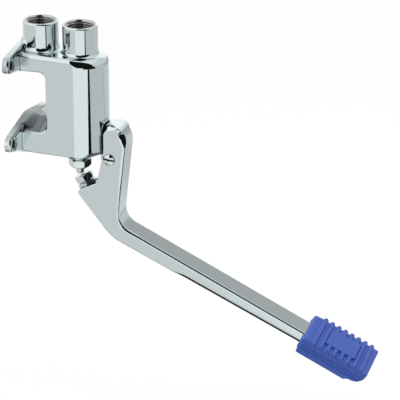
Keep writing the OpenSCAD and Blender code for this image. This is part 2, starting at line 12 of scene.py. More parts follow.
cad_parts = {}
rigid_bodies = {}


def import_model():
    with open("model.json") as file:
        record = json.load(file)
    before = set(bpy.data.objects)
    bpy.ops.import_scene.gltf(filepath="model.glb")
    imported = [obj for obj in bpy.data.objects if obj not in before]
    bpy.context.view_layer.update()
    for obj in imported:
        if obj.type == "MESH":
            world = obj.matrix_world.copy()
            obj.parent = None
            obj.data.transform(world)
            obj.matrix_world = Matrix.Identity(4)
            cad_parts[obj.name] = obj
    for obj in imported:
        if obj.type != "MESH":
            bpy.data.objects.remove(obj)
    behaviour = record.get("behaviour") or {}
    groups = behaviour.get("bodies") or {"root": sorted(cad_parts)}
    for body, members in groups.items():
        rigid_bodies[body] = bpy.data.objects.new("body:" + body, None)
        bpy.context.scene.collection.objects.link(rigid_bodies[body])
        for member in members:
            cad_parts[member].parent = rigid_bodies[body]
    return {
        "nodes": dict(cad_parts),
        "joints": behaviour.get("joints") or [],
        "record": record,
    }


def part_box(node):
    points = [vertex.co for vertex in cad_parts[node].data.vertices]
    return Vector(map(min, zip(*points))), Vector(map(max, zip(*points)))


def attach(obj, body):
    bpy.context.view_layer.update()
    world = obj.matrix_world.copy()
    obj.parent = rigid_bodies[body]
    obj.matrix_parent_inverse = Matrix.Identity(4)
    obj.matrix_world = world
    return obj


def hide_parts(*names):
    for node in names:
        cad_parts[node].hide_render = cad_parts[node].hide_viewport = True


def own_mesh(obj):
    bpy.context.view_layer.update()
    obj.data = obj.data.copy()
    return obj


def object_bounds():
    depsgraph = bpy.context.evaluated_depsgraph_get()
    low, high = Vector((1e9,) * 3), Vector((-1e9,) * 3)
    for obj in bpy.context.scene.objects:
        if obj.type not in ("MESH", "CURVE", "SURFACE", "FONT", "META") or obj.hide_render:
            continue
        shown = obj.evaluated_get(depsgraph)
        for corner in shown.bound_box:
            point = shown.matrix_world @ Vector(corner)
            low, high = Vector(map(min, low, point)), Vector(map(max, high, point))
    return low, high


for leftover in list(bpy.data.objects):
    bpy.data.objects.remove(leftover)
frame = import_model()
cad_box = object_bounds()

bl_info = {
    "name": "Foot Pedal Tap Valve",
    "version": (1, 0, 0),
    "blender": (4, 5, 0),
    "location": "3D View > Sidebar > Tap valve",
    "description": "Makes the pieces, finishes and studio of a foot pedal tap valve",
    "category": "Object",
}

MM = 0.001
MOUNTS = {mount["name"]: mount for mount in frame["record"]["mounts"]}
JOINTS = {joint["name"]: joint for joint in frame["joints"]}
BOLTS = MOUNTS["wall_bolts"]["dims"]
HALF_SPAN = BOLTS["spacing_x_mm"] * MM / 2
HALF_RISE = BOLTS["spacing_y_mm"] * MM / 2
HOLE_R = BOLTS["hole_r_mm"] * MM
PIVOT = np.array(JOINTS["pedal_press"]["pos_m"])[[0, 2]]


# Properties


def length(name, mm, description):
    """Length property whose default is given in millimetres."""
    return bpy.props.FloatProperty(
        name=name, description=description, default=mm * MM, unit="LENGTH", precision=5)


def angle(name, degrees, description):
    """Angle property whose default is given in degrees."""
    return bpy.props.FloatProperty(
        name=name, description=description, default=math.radians(degrees), subtype="ANGLE")


def colour(name, rgb, description):
    """Colour property with linear red, green and blue."""
    return bpy.props.FloatVectorProperty(
        name=name, description=description, default=rgb, size=3, min=0, max=1, subtype="COLOR")


def factor(name, value, description):
    """Plain number from 0 to 1."""
    return bpy.props.FloatProperty(
        name=name, description=description, default=value, min=0, max=1, subtype="FACTOR")


def power(name, watts, description):
    """Power of a lamp in watts."""
    return bpy.props.FloatProperty(name=name, description=description, default=watts, subtype="POWER")


class BodySizes(bpy.types.PropertyGroup):
    """Sizes of the cast body with its arms, flanges, sockets and tongue."""

    cell: length("Mesh cell", 0.8, "Edge of the grid cells that the casting is meshed with")
    column_x: length("Column place", 45, "Distance of the column's axis from the wall")
    column_r: length("Column radius", 20.6, "Radius of the column's round front")
    side_y: length("Half width", 20.3, "Distance of the flat sides from the middle plane")
    top_z: length("Top", 31, "Height of the top face")
    bottom_z: length("Bottom", -44, "Height of the bottom face")
    edge_r: length("Edge radius", 3, "Rounding of the body's flat sides at the top")
    top_rise: length("Top rise", 3, "Rise of the top face from its front to the wall")
    front_edge_r: length("Front edge", 6.2, "Rounding of the column's round front at the top")
    foot_edge_r: length("Foot edge", 2.2, "Rounding of the body's edges at the bottom")
    front_foot_r: length("Front foot edge", 5, "Rounding of the column's round front at the bottom")
    gap_x: length("Gap depth", 24, "Distance of the gap's end from the wall")
    gap_top: length("Gap top", 20, "Height of the upper arm's underside")
    gap_bottom: length("Gap bottom", -25.5, "Height of the lower arm's top")
    roof_rise: length("Roof rise", 6.2, "Height of the ridge on the lower arm's top above its edges")
    gap_r: length("Gap corners", 5, "Radius of the inside corners of the gap")
    gap_edge_r: length("Gap edges", 1.6, "Rounding of the edges round the gap")
    arm_rise: length("Arm rise", 2.4, "Rise of the lower arm's underside towards the wall")
    flange_t: length("Flange thickness", 6, "Thickness of the wall flanges")
    lug_r: length("Lug radius", 6.2, "Radius of the round end of a flange")
    upper_crown: length("Upper crown", 9.2, "Height of the upper flange's crown above its screw holes")
    lower_crown: length("Lower crown", 11.6, "Height of the lower flange's crown above its screw holes")
    crown_w: length("Crown width", 5, "Width of the level top of a flange's crown")
    flange_edge_r: length("Flange edges", 2.4, "Rounding of the flanges' edges")
    upper_blend: length("Upper blend", 2.6, "Radius between the upper flange and the top face")
    lower_blend: length("Lower blend", 8, "Radius between the lower flange and the lower arm's top")
    flank_blend: length("Flank blend", 0.8, "Radius between the flanges and the arms' flat sides")
    spot_r: length("Spot face", 5.5, "Radius of the spot face round a screw hole")
    spot_depth: length("Spot depth", 0.6, "Depth of the spot faces")
    outlet_x: length("Outlet place", 15, "Distance of the outlet socket's axis from the wall")
    socket_r: length("Socket radius", 13, "Outer radius of the sockets")
    inlet_rim: length("Inlet rim", 53, "Height of the inlet socket's rim")
    outlet_rim: length("Outlet rim", 54, "Height of the outlet socket's rim")
    rim_edge_r: length("Rim edge", 0.9, "Rounding of the sockets' rims")
    inlet_blend: length("Inlet blend", 2.4, "Radius between the inlet socket and the top face")
    outlet_blend: length("Outlet blend", 3.6, "Radius between the outlet socket and the top face")
    boss_r: length("Boss foot", 13.5, "Radius of the tapered boss where it leaves the column")
    boss_end_r: length("Boss end", 10, "Radius of the tapered boss at its end")
    boss_h: length("Boss height", 5, "Height of the tapered boss")
    spindle_x: length("Spindle place", 43, "Distance of the spindle's axis from the wall")
    tongue_w: length("Tongue width", 10, "Width of the tongue between the lever's cheeks")
    tongue_r: length("Tongue end", 8, "Radius of the tongue's round end")
    tongue_rise: length("Tongue rise", 13, "Height of the tongue's top above the pivot")
    tongue_shoulder: length("Tongue shoulder", 1.5, "Distance of the tongue's top edge behind the pivot")
    tongue_bore_r: length("Pivot bore", 5.27, "Radius of the bore for the pivot bush")
    well_r: length("Inlet well", 7.215, "Radius of the bore for the seat")
    well_z: length("Inlet well floor", 25, "Height of the seat's ledge")
    outlet_well_r: length("Outlet well", 6.5, "Radius of the well under the outlet thread and of the chamber")
    outlet_well_z: length("Outlet well floor", 23.5, "Height of the outlet well's floor")
    chamber_z: length("Chamber floor", 12.5, "Height of the outlet chamber's floor")
    barrel_r: length("Barrel", 5.5, "Radius of the lower bore for bush and spring")
    barrel_z: length("Barrel top", 10.5, "Height of the lower bore's end")
    guide_r: length("Guide bore", 3.3, "Radius of the bore between chamber and barrel")
    passage_r: length("Passage", 3.5, "Radius of the slanted passage to the outlet")


class ThreadSizes(bpy.types.PropertyGroup):
    """Sizes of the pipe threads in the sockets."""

    minor_r: length("Minor radius", MOUNTS["inlet_socket"]["dims"]["r_mm"], "Radius of the thread's crests")
    major_r: length("Major radius", 10.45, "Radius of the thread's roots")
    pitch: length("Pitch", 1.814, "Distance between neighbouring turns")
    depth: length("Depth", 13, "Length of the threaded bore")
    mouth_r: length("Mouth radius", 11, "Radius of the countersink at the rim")
    outer_r: length("Outer radius", 11.3, "Radius where the threaded wall joins the casting")


class LeverSizes(bpy.types.PropertyGroup):
    """Sizes of the cast lever."""

    cell: length("Mesh cell", 0.6, "Edge of the grid cells that the casting is meshed with")
    width: length("Width", 20, "Width of the lever")
    head_rise: length("Head rise", 27.8, "Height of the head above the pivot")
    head_back: length("Head back", 4.3, "Distance of the head's back behind the pivot")
    head_front: length("Head front", 14.5, "Distance of the head's front before the pivot")
    head_fall: length("Head fall", 3.4, "Fall of the head's top towards its front")
    head_r: length("Head radius", 4.5, "Radius of the head's rounded top at the back")
    nose_r: length("Nose radius", 13, "Radius of the head's rounded top at the front")
    head_cap: length("Head cap", 5.3, "Thickness of the cap that joins the cheeks")
    cheek_swell: length("Cheek swell", 1.1, "How far the cheeks swell backwards at the pivot")
    bend_out: length("Bend out", 6.1, "Distance of the bend before the pivot")
    bend_drop: length("Bend drop", 50.7, "Depth of the bend below the pivot")
    bend_r: length("Bend radius", 14, "Radius inside the bend")
    arm_slope: angle("Arm slope", 26.3, "Slope of the arm below level")
    arm_root_h: length("Arm root", 12, "Thickness of the arm at the bend")
    arm_tip_h: length("Arm tip", 9.6, "Thickness of the arm at the pedal")
    arm_l: length("Arm length", 160, "Length of the arm from the bend to the boot")
    heel_slope: angle("Heel slope", 52, "Slope of the heel's underside")
    heel_back: length("Heel back", 6.7, "Length of the heel's top behind the screw")
    heel_front: length("Heel front", 11.2, "Length of the heel's top before the screw")
    heel_r: length("Heel radius", 2.5, "Radius of the heel's corner")
    heel_turn_r: length("Heel turn", 40, "Radius between the heel and the arm's underside")
    slot_w: length("Slot width", 10.6, "Width of the slot for the tongue")
    slot_r: length("Slot radius", 8.8, "Radius of the slot round the pivot")
    pin_hole_r: length("Pin hole", 4.27, "Radius of the hole for the pivot pin")
    relief_r: length("Column relief", 21.4, "Radius of the hollow that clears the column")
    head_edge_r: length("Head edges", 5.5, "Rounding of the edges over the head's top")
    edge_r: length("Edges", 0.6, "Rounding of the other edges")
    facet_turn: angle("Facet turn", 33, "Turn of the ground facet on the front edges, from the cheeks")
    facet_w: length("Facet width", 1.0, "Width of the facet along the arm")
    neck_facet_w: length("Neck facet width", 1.5, "Width of the facet along the neck")
    head_facet_w: length("Head facet width", 4.8, "Width of the facet on the head")
    under_facet_w: length("Under facet width", 3, "Width of the facet under the arm")
    under_facet_from: length("Under facet start", 50, "Where the facet under the arm starts, from the bend")
    plate_l: length("Plate length", 40.5, "Length of the foot plate in the boot")
    plate_w: length("Plate width", 36, "Width of the foot plate in the boot")
    plate_h: length("Plate thickness", 9.36, "Thickness of the foot plate in the boot")


class ScrewSizes(bpy.types.PropertyGroup):
    """Sizes of the adjusting screw, its nut and washer, the gland and the spindle."""

    tilt: angle("Tilt", 26.5, "Tilt of the adjusting screw from upright")
    seat_x: length("Seat place", 49.78, "Distance of the screw's seat on the heel from the wall")
    seat_z: length("Seat height", -72.31, "Height of the screw's seat on the heel")
    shank_r: length("Shank radius", 4, "Radius of the adjusting screw's shank")
    shank_in: length("Shank in heel", 8.5, "Length of the shank inside the heel")
    across_flats: length("Across flats", 13, "Width across flats of screw head and lock nut")
    head_h: length("Head height", 5.3, "Height of the screw's head")
    bare_l: length("Bare shank", 0.8, "Length of shank between head and lock nut")
    nut_t: length("Nut thickness", 3.5, "Thickness of the lock nut")
    washer_r: length("Washer radius", 7, "Radius of the lock washer")
    washer_t: length("Washer thickness", 1.3, "Thickness of the lock washer")
    spot_r: length("Spot radius", 7.8, "Radius of the spot face under the lock washer")
    gland_flats: length("Gland flats", 15, "Width across flats of the gland nut")
    gland_h: length("Gland height", 7.2, "Height of the gland nut's hexagon")
    gland_shank_l: length("Gland shank", 12, "Length of the gland nut's shank")
    gland_washer_t: length("Gland washer", 1, "Thickness of the gland washer")
    spindle_r: length("Spindle radius", 3, "Radius of the spindle")
    tip_z: length("Tip", -62.7, "Height of the spindle's crowned tip")
    lip_z: length("Seat lip", 29.3, "Height of the seat's lip")
    edge: length("Edge break", 0.22, "Width of the broken edges of turned pieces")


class BootSizes(bpy.types.PropertyGroup):
    """Sizes of the rubber boot on the pedal."""

    cell: length("Mesh cell", 0.55, "Edge of the grid cells that the boot is meshed with")
    long: length("Length", 54.4, "Length of the boot")
    wide: length("Width", 44, "Width of the boot")
    high: length("Height", 12.6, "Height of the boot without its ribs")
    over: length("Over arm", 1.8, "Height of the boot's top above the arm")
    lap: length("Lap", 0.6, "How far the boot reaches back over the arm")
    lap_rise: length("Lap rise", 0.5, "Rise of the top at the arm's side")
    lap_edge_r: length("Lap edge", 3, "Rounding of the upper edge at the arm's side")
    corner_r: length("Corner radius", 1.8, "Radius of the corners seen from above")
    end_lean: angle("End lean", 13, "How far the outer end leans in towards the sole")
    toe_r: length("Toe radius", 8, "Radius under the outer end")
    toe_rise: length("Toe rise", 2.2, "Height of the toe's underside above the sole")
    toe_from: length("Toe start", 39.5, "Where the sole ends, from the arm's side")
    edge_r: length("Edge radius", 1.1, "Rounding of the upper edges")
    foot_edge_r: length("Foot edges", 0.6, "Rounding of the lower edges")
    upper_band: length("Upper band", -5, "Height of the upper band round the sides")
    lower_band: length("Lower band", -8, "Height of the lower band round the sides")
    band_h: length("Band height", 0.6, "How far the bands stand out")
    band_w: length("Band width", 0.7, "Half width of the bands")
    tuck: length("Tuck", 0.5, "How far the sides draw in below the lower band")
    rib_count: bpy.props.IntProperty(
        name="Ribs", description="Number of ribs across the top", default=8, min=1)
    rib_first: length("First rib", 8.8, "Distance of the first rib from the boot's arm end")
    rib_pitch: length("Rib pitch", 5.6, "Distance between ribs")
    rib_w: length("Rib width", 3.6, "Width of a rib at its foot")
    rib_h: length("Rib height", 1.8, "Height of the ribs")
    rib_past: length("Rib ends", 0.45, "How far the ribs reach past the sides")
    panel: length("Panel", 24, "Side of the bare panel between the ribs")
    panel_edge_r: length("Panel edges", 0.5, "Rounding of the panel's edges")


class FinishSettings(bpy.types.PropertyGroup):
    """Colours and gloss of the finishes."""

    chrome: colour("Chrome", (0.535, 0.60, 0.605), "Colour of the polished chrome plating")
    chrome_gloss: factor("Chrome roughness", 0.05, "Mean roughness of the chrome plating")
    # Painted shade: near-black tone painted on the castings and the pin in the gap, screw holes, slots, on the
    # tongue and behind the lever, where shade falls
    raw: colour("Raw casting", (0.035, 0.038, 0.04), "Colour of the casting where no polishing wheel reaches")
    tapped: colour("Tapped metal", (0.46, 0.47, 0.47), "Colour of the cut threads")
    brass: colour("Brass", (0.72, 0.50, 0.20), "Colour of the turned brass")
    bronze: colour("Bronze", (0.55, 0.33, 0.16), "Colour of the turned bronze")
    steel: colour("Steel", (0.58, 0.60, 0.61), "Colour of the stainless steel")
    black_rubber: colour("Black rubber", (0.02, 0.02, 0.021), "Colour of the seals")
    blue_rubber: colour("Blue rubber", (0.020, 0.068, 0.35), "Colour of the moulded boot")
    blue_deep: colour("Deep blue", (0.015, 0.052, 0.29), "Darker tone in the boot's rubber")


class StudioSettings(bpy.types.PropertyGroup):
    """Camera, floor and light."""

    azimuth: angle("Camera azimuth", 15.5, "Camera's turn round the object from its near side")
    elevation: angle("Camera elevation", 22, "Camera's height above level")
    distance: bpy.props.FloatProperty(
        name="Camera distance", description="Distance from the camera to the point it looks at",
        default=1.75, unit="LENGTH")
    look_at: bpy.props.FloatVectorProperty(
        name="Look at", description="Point that the camera looks at", default=(0.13703, -0.00738, -0.07125),
        size=3, subtype="XYZ", unit="LENGTH")
    focal_mm: bpy.props.FloatProperty(
        name="Focal length", description="Focal length in millimetres on a 36 mm wide sensor", default=216)
    floor_drop: length("Floor drop", 38, "Height of the pedal above the floor")
    floor_glow: factor("Floor white", 0.88, "Share of plain white in what the camera sees of the floor")
    key_power: power("Key power", 10, "Power of the soft lamp overhead")
    fill_power: power("Fill power", 1, "Power of the soft lamp at the camera's side")


# Distances to solids, negative inside, and smooth steps


def span(value, low, high):
    """Distance from the stretch between low and high."""
    return np.maximum(low - value, value - high)


def soft_join(a, b, r):
    """Two solids joined, with a fillet of radius r where they meet."""
    return np.maximum(r, np.minimum(a, b)) - np.hypot(np.maximum(r - a, 0), np.maximum(r - b, 0))


def soft_common(a, b, r):
    """What two solids share, with the edge rounded to radius r."""
    return np.minimum(-r, np.maximum(a, b)) + np.hypot(np.maximum(r + a, 0), np.maximum(r + b, 0))


def soft_cut(a, b, r):
    """Solid a without solid b, with the new edge rounded to radius r."""
    return soft_common(a, -b, r)


def rounded_rectangle(u, v, low, high, r):
    """Distance to a rectangle with corner radius r."""
    out_u = np.abs(u - (low[0] + high[0]) / 2) - (high[0] - low[0]) / 2 + r
    out_v = np.abs(v - (low[1] + high[1]) / 2) - (high[1] - low[1]) / 2 + r
    inner = np.minimum(np.maximum(out_u, out_v), 0)
    return inner + np.hypot(np.maximum(out_u, 0), np.maximum(out_v, 0)) - r


def polygon_distance(points, u, v):
    """Distance to a closed polygon."""
    points = np.asarray(points)
    nearest = np.full(np.broadcast(u, v).shape, np.inf)
    inside = np.zeros(nearest.shape, bool)
    for (au, av), (bu, bv) in zip(points, np.roll(points, -1, axis=0)):
        run_u, run_v = bu - au, bv - av
        size = run_u * run_u + run_v * run_v
        if size == 0:
            continue
        t = np.clip(((u - au) * run_u + (v - av) * run_v) / size, 0, 1)
        nearest = np.minimum(nearest, (u - au - run_u * t) ** 2 + (v - av - run_v * t) ** 2)
        if run_v != 0:
            inside ^= ((av > v) != (bv > v)) & (u < au + (v - av) * run_u / run_v)
    return np.where(inside, -1, 1) * np.sqrt(nearest)


def ease(value, low, high):
    """Smooth step from 0 at low to 1 at high."""
    t = np.clip((value - low) / (high - low), 0, 1)
    return t * t * (3 - 2 * t)


def band(value, rise, fall):
    """Smooth step from 0 to 1 over one stretch and back to 0 over another."""
    return ease(value, *rise) * (1 - ease(value, *fall))


def between(first, last, share):
    """Value at some share of the way from the first to the last."""
    return first + (last - first) * share


def along_way(way, start, x, z):
    """How far points lie from a start along a direction, in the X-Z plane."""
    return (x - start[0]) * way[0] + (z - start[1]) * way[1]


# Outlines


ARC_POINTS = 15


def unit(v):
    """Vector of length 1 along v."""
    return v / np.linalg.norm(v)


def turned(v):
    """Vector turned a quarter to the left."""
    return np.array([-v[1], v[0]])


def crossing(p, u, q, v):
    """Point where the line through p along u crosses the line through q along v."""
    return p + u * np.dot(q - p, turned(v)) / np.dot(u, turned(v))


def corner_arc(before, corner, after, r):
    """Arc of radius r that rounds a corner."""
    a, b = unit(before - corner), unit(after - corner)
    half = math.acos(np.clip(np.dot(a, b), -1, 1)) / 2
    centre = corner + unit(a + b) * r / math.sin(half)
    first = corner + a * r / math.tan(half) - centre
    last = corner + b * r / math.tan(half) - centre
    start = math.atan2(first[1], first[0])
    sweep = math.atan2(np.dot(turned(first), last), np.dot(first, last))
    turns = start + sweep * np.linspace(0, 1, ARC_POINTS)
    return [centre + r * np.array([math.cos(t), math.sin(t)]) for t in turns]


def rounded_outline(corners, radii):
    """Outline through the corners, each rounded to its own radius."""
    points = []
    for i, (corner, r) in enumerate(zip(corners, radii)):
        if r == 0:
            points.append(corner)
        else:
            points += corner_arc(corners[i - 1], corner, corners[(i + 1) % len(corners)], r)
    return np.array(points)


def tangent_turn(point, centre, r, side):
    """Angle on a circle where the line from a point touches it."""
    way = np.subtract(point, centre)
    return math.atan2(way[1], way[0]) + side * math.acos(r / np.linalg.norm(way))


# Meshes


CORNERS = np.array(list(itertools.product((0, 1), repeat=3)))
CELL_EDGES = [(a, b) for a, b in itertools.combinations(range(len(CORNERS)), 2)
              if np.abs(CORNERS[a] - CORNERS[b]).sum() == 1]
SLOPE_STEP = 0.01 * MM
# How often the points of a net are drawn onto its surface, and the least slopes that a step divides by
PULLS = 3
LEAST_SLOPE_SQUARED = 0.25
LEAST_SLOPE = 1e-9
LATHE_TURNS = 72
# Radius at which a hexagon's corners are turned off, as a share of its width across flats
CORNER_SHARE = 0.57


def slope(shape, points):
    """Gradient of a distance function at some points."""
    parts = []
    for axis in range(3):
        step = np.zeros(3)
        step[axis] = SLOPE_STEP
        parts.append(shape(*(points + step).T) - shape(*(points - step).T))
    return np.stack(parts, axis=1) / (2 * SLOPE_STEP)


def net_of(shape, low, high, cell):
    """Closed quad mesh of a distance function inside a box: points, faces and normals."""
    low, high = np.asarray(low) - 2 * cell, np.asarray(high) + 2 * cell
    axes = [np.arange(a, b + cell, cell) for a, b in zip(low, high)]
    grid = np.meshgrid(*axes, indexing="ij", sparse=True)
    values = np.broadcast_to(shape(*grid), [len(a) for a in axes])
    inside = values < 0
    cells = np.array(values.shape) - 1
    filled = sum(inside[tuple(slice(o, o + n) for o, n in zip(corner, cells))].astype(int)
                 for corner in CORNERS)
    mixed = (filled > 0) & (filled < len(CORNERS))
    at = np.argwhere(mixed)
    if not len(at):
        raise RuntimeError("the shape leaves nothing in its box")
    number = np.full(cells, -1)
    number[mixed] = np.arange(len(at))
    total, count = np.zeros((len(at), 3)), np.zeros(len(at))
    for a, b in CELL_EDGES:
        here, there = values[tuple((at + CORNERS[a]).T)], values[tuple((at + CORNERS[b]).T)]
        cut = (here < 0) != (there < 0)
        t = here[cut] / (here[cut] - there[cut])
        total[cut] += CORNERS[a] + t[:, None] * (CORNERS[b] - CORNERS[a])
        count[cut] += 1
    points = low + (at + total / count[:, None]) * cell
    faces = []
    for axis in range(3):
        side_a, side_b = np.eye(3, dtype=int)[[(axis + 1) % 3, (axis + 2) % 3]]
        first = np.delete(inside, -1, axis=axis)
        changes = np.argwhere(first != np.delete(inside, 0, axis=axis))
        quads = np.stack([number[tuple((changes - step).T)]
                          for step in (np.zeros(3, int), side_a, side_a + side_b, side_b)], axis=1)
        outward = first[tuple(changes.T)]
        faces.append(np.where(outward[:, None], quads, quads[:, ::-1]))
    for _ in range(PULLS):
        away = slope(shape, points)
        reach = shape(*points.T) / np.maximum((away * away).sum(axis=1), LEAST_SLOPE_SQUARED)
        points -= away * np.clip(reach, -cell / 2, cell / 2)[:, None]
    away = slope(shape, points)
    normals = away / np.maximum(np.linalg.norm(away, axis=1), LEAST_SLOPE)[:, None]
    return points, np.concatenate(faces), normals


def new_piece(name, points, faces, body, finish, normals=None):
    """New object that rides on a body and takes its finish from a slot."""
    mesh = bpy.data.meshes.new(name)
    mesh.from_pydata(np.asarray(points).tolist(), [], [list(map(int, face)) for face in faces])
    mesh.update()
    mesh.shade_smooth()
    if normals is not None:
        mesh.normals_split_custom_set_from_vertices(normals.tolist())
    mesh.materials.append(finish)
    piece = bpy.data.objects.new(name, mesh)
    bpy.context.scene.collection.objects.link(piece)
    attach(piece, body)
    return piece


def lathe(rings, place):
    """Closed mesh of rings of points: each ring is (radius, height), a number or one value for each turn."""
    turns = np.linspace(0, 2 * math.pi, LATHE_TURNS, endpoint=False)
    points, faces, starts = [], [], []
    for radius, height in rings:
        radius = np.broadcast_to(radius, turns.shape)
        height = np.broadcast_to(height, turns.shape)
        starts.append(len(points))
        if radius.max() == 0:
            points.append((0, 0, height[0]))
        else:
            points += list(zip(radius * np.cos(turns), radius * np.sin(turns), height))
    pairs = list(zip(range(len(rings)), range(1, len(rings))))
    if np.max(rings[0][0]) > 0:
        pairs.append((len(rings) - 1, 0))
    for low, high in pairs:
        a, b = starts[low], starts[high]
        for i in range(LATHE_TURNS):
            j = (i + 1) % LATHE_TURNS
            if np.max(rings[low][0]) == 0:
                faces.append((a, b + j, b + i))
            elif np.max(rings[high][0]) == 0:
                faces.append((a + i, a + j, b))
            else:
                faces.append((a + i, a + j, b + j, b + i))
    return [place @ Vector(point) for point in points], faces


def washer_rings(inner, outer, low, high):
    """Rings of a flat washer for the lathe."""
    return [(inner, low), (outer, low), (outer, high), (inner, high)]


def hexagon_radius(across_flats, first_turn):
    """Radius of a hexagon at each turn of the lathe, with its corners turned off."""
    turns = np.linspace(0, 2 * math.pi, LATHE_TURNS, endpoint=False) - first_turn
    from_flat = np.mod(turns, math.pi / 3) - math.pi / 6
    return np.minimum(across_flats / 2 / np.cos(from_flat), CORNER_SHARE * across_flats)


def break_edges(piece, width):
    """Small rounded edges with flat faces left flat."""
    bevel = piece.modifiers.new("broken_edges", "BEVEL")
    bevel.width = width
    bevel.segments = 3
    bevel.limit_method = "ANGLE"
    bevel.angle_limit = math.radians(25)
    flat = piece.modifiers.new("flat_faces", "WEIGHTED_NORMAL")
    flat.weight = 100
    flat.keep_sharp = True


# Shapes of the castings


# A distance past every piece, and the points on a lug's round end
BIG = 1.0
LUG_POINTS = 24
# Roundings of small edges and of fillets
BORE_EDGE = 0.1 * MM
HOLE_EDGE = 0.3 * MM
SCREW_HOLE_EDGE = 0.35 * MM
WALL_EDGE = 0.4 * MM
SOFT_EDGE = 0.5 * MM
SLOT_EDGE = 0.6 * MM
RIB_EDGE = 0.7 * MM
BOSS_EDGE = 0.8 * MM
TONGUE_BLEND = 1.2 * MM
BOSS_BLEND = 1.5 * MM
# How far a thread reaches into the casting's wall, and neighbouring bores into each other
THREAD_LAP = 0.05 * MM
BORE_LAP = 1 * MM
# The slanted passage starts over the outlet well's floor and ends over the chamber's
PASSAGE_FROM = 3 * MM
PASSAGE_TO = 5.5 * MM
# The heel's top over the screw's seat, the arm's reach into the boot and the start of its foot plate there
HEEL_RISE = 2.3 * MM
ARM_INTO_BOOT = 7 * MM
PLATE_START = 4 * MM
# Heights from the pivot at which the lever's facet changes its width, up the arm, the neck and the head
FACET_HEIGHTS = np.array([-60, -52, 10, 14.5, 20.5, 23.5]) * MM
CHEEK_FACET_SHARE = 0.75


def flange_outline(b, hole_z, crown_rise, foot_z):
    """Flange seen from the front: two round lugs, a raised crown and a level foot."""
    lug = (HALF_SPAN, hole_z)
    crown = (b.crown_w / 2, hole_z + crown_rise)
    foot = (b.side_y, foot_z)
    first = tangent_turn(crown, lug, b.lug_r, -1)
    last = tangent_turn(foot, lug, b.lug_r, 1) - 2 * math.pi
    if last <= first - 2 * math.pi:
        last += 2 * math.pi
    arc = [(lug[0] + b.lug_r * math.cos(t), lug[1] + b.lug_r * math.sin(t))
           for t in np.linspace(first, last, LUG_POINTS)]
    half = [crown, *arc, foot]
    return np.array(half + [(-y, z) for y, z in reversed(half)])


def tongue_outline(b):
    """Side view of the tongue between the lever's cheeks, without its round end."""
    root_x, low = b.column_x + b.column_r / 2, b.bottom_z + 1 * MM
    shoulder = PIVOT + [-b.tongue_shoulder, b.tongue_rise]
    turn = tangent_turn(shoulder, PIVOT, b.tongue_r, -1)
    touch = PIVOT + b.tongue_r * np.array([math.cos(turn), math.sin(turn)])
    return np.array([
        (root_x, shoulder[1]), shoulder, touch, PIVOT, (PIVOT[0] - b.tongue_r / 2, low), (root_x, low)])


def body_bores(b, thread, x, y, z):
    """Distances to the bores in the body."""
    thread_r = thread.outer_r - THREAD_LAP
    upright = (
        (b.column_x, thread_r, b.inlet_rim - thread.depth, BIG),
        (b.outlet_x, thread_r, b.outlet_rim - thread.depth, BIG),
        (b.spindle_x, b.well_r, b.well_z, b.inlet_rim),
        (b.outlet_x, b.outlet_well_r, b.outlet_well_z, b.outlet_rim),
        (b.spindle_x, b.outlet_well_r, b.chamber_z, b.well_z + BORE_LAP),
        (b.spindle_x, b.guide_r, b.barrel_z - BORE_LAP, b.chamber_z + BORE_LAP),
        (b.spindle_x, b.barrel_r, -BIG, b.barrel_z),
    )
    bores = [np.maximum(np.hypot(x - at_x, y) - r, span(z, low, high)) for at_x, r, low, high in upright]
    start = np.array([b.outlet_x, b.outlet_well_z + PASSAGE_FROM])
    run = np.array([b.spindle_x, b.chamber_z + PASSAGE_TO]) - start
    way = unit(run)
    off = along_way((way[1], -way[0]), start, x, z)
    ends = span(along_way(way, start, x, z), 0, np.linalg.norm(run))
    bores.append(np.maximum(np.hypot(off, y) - b.passage_r, ends))
    bores.append(np.hypot(x - PIVOT[0], z - PIVOT[1]) - b.tongue_bore_r)
    return bores


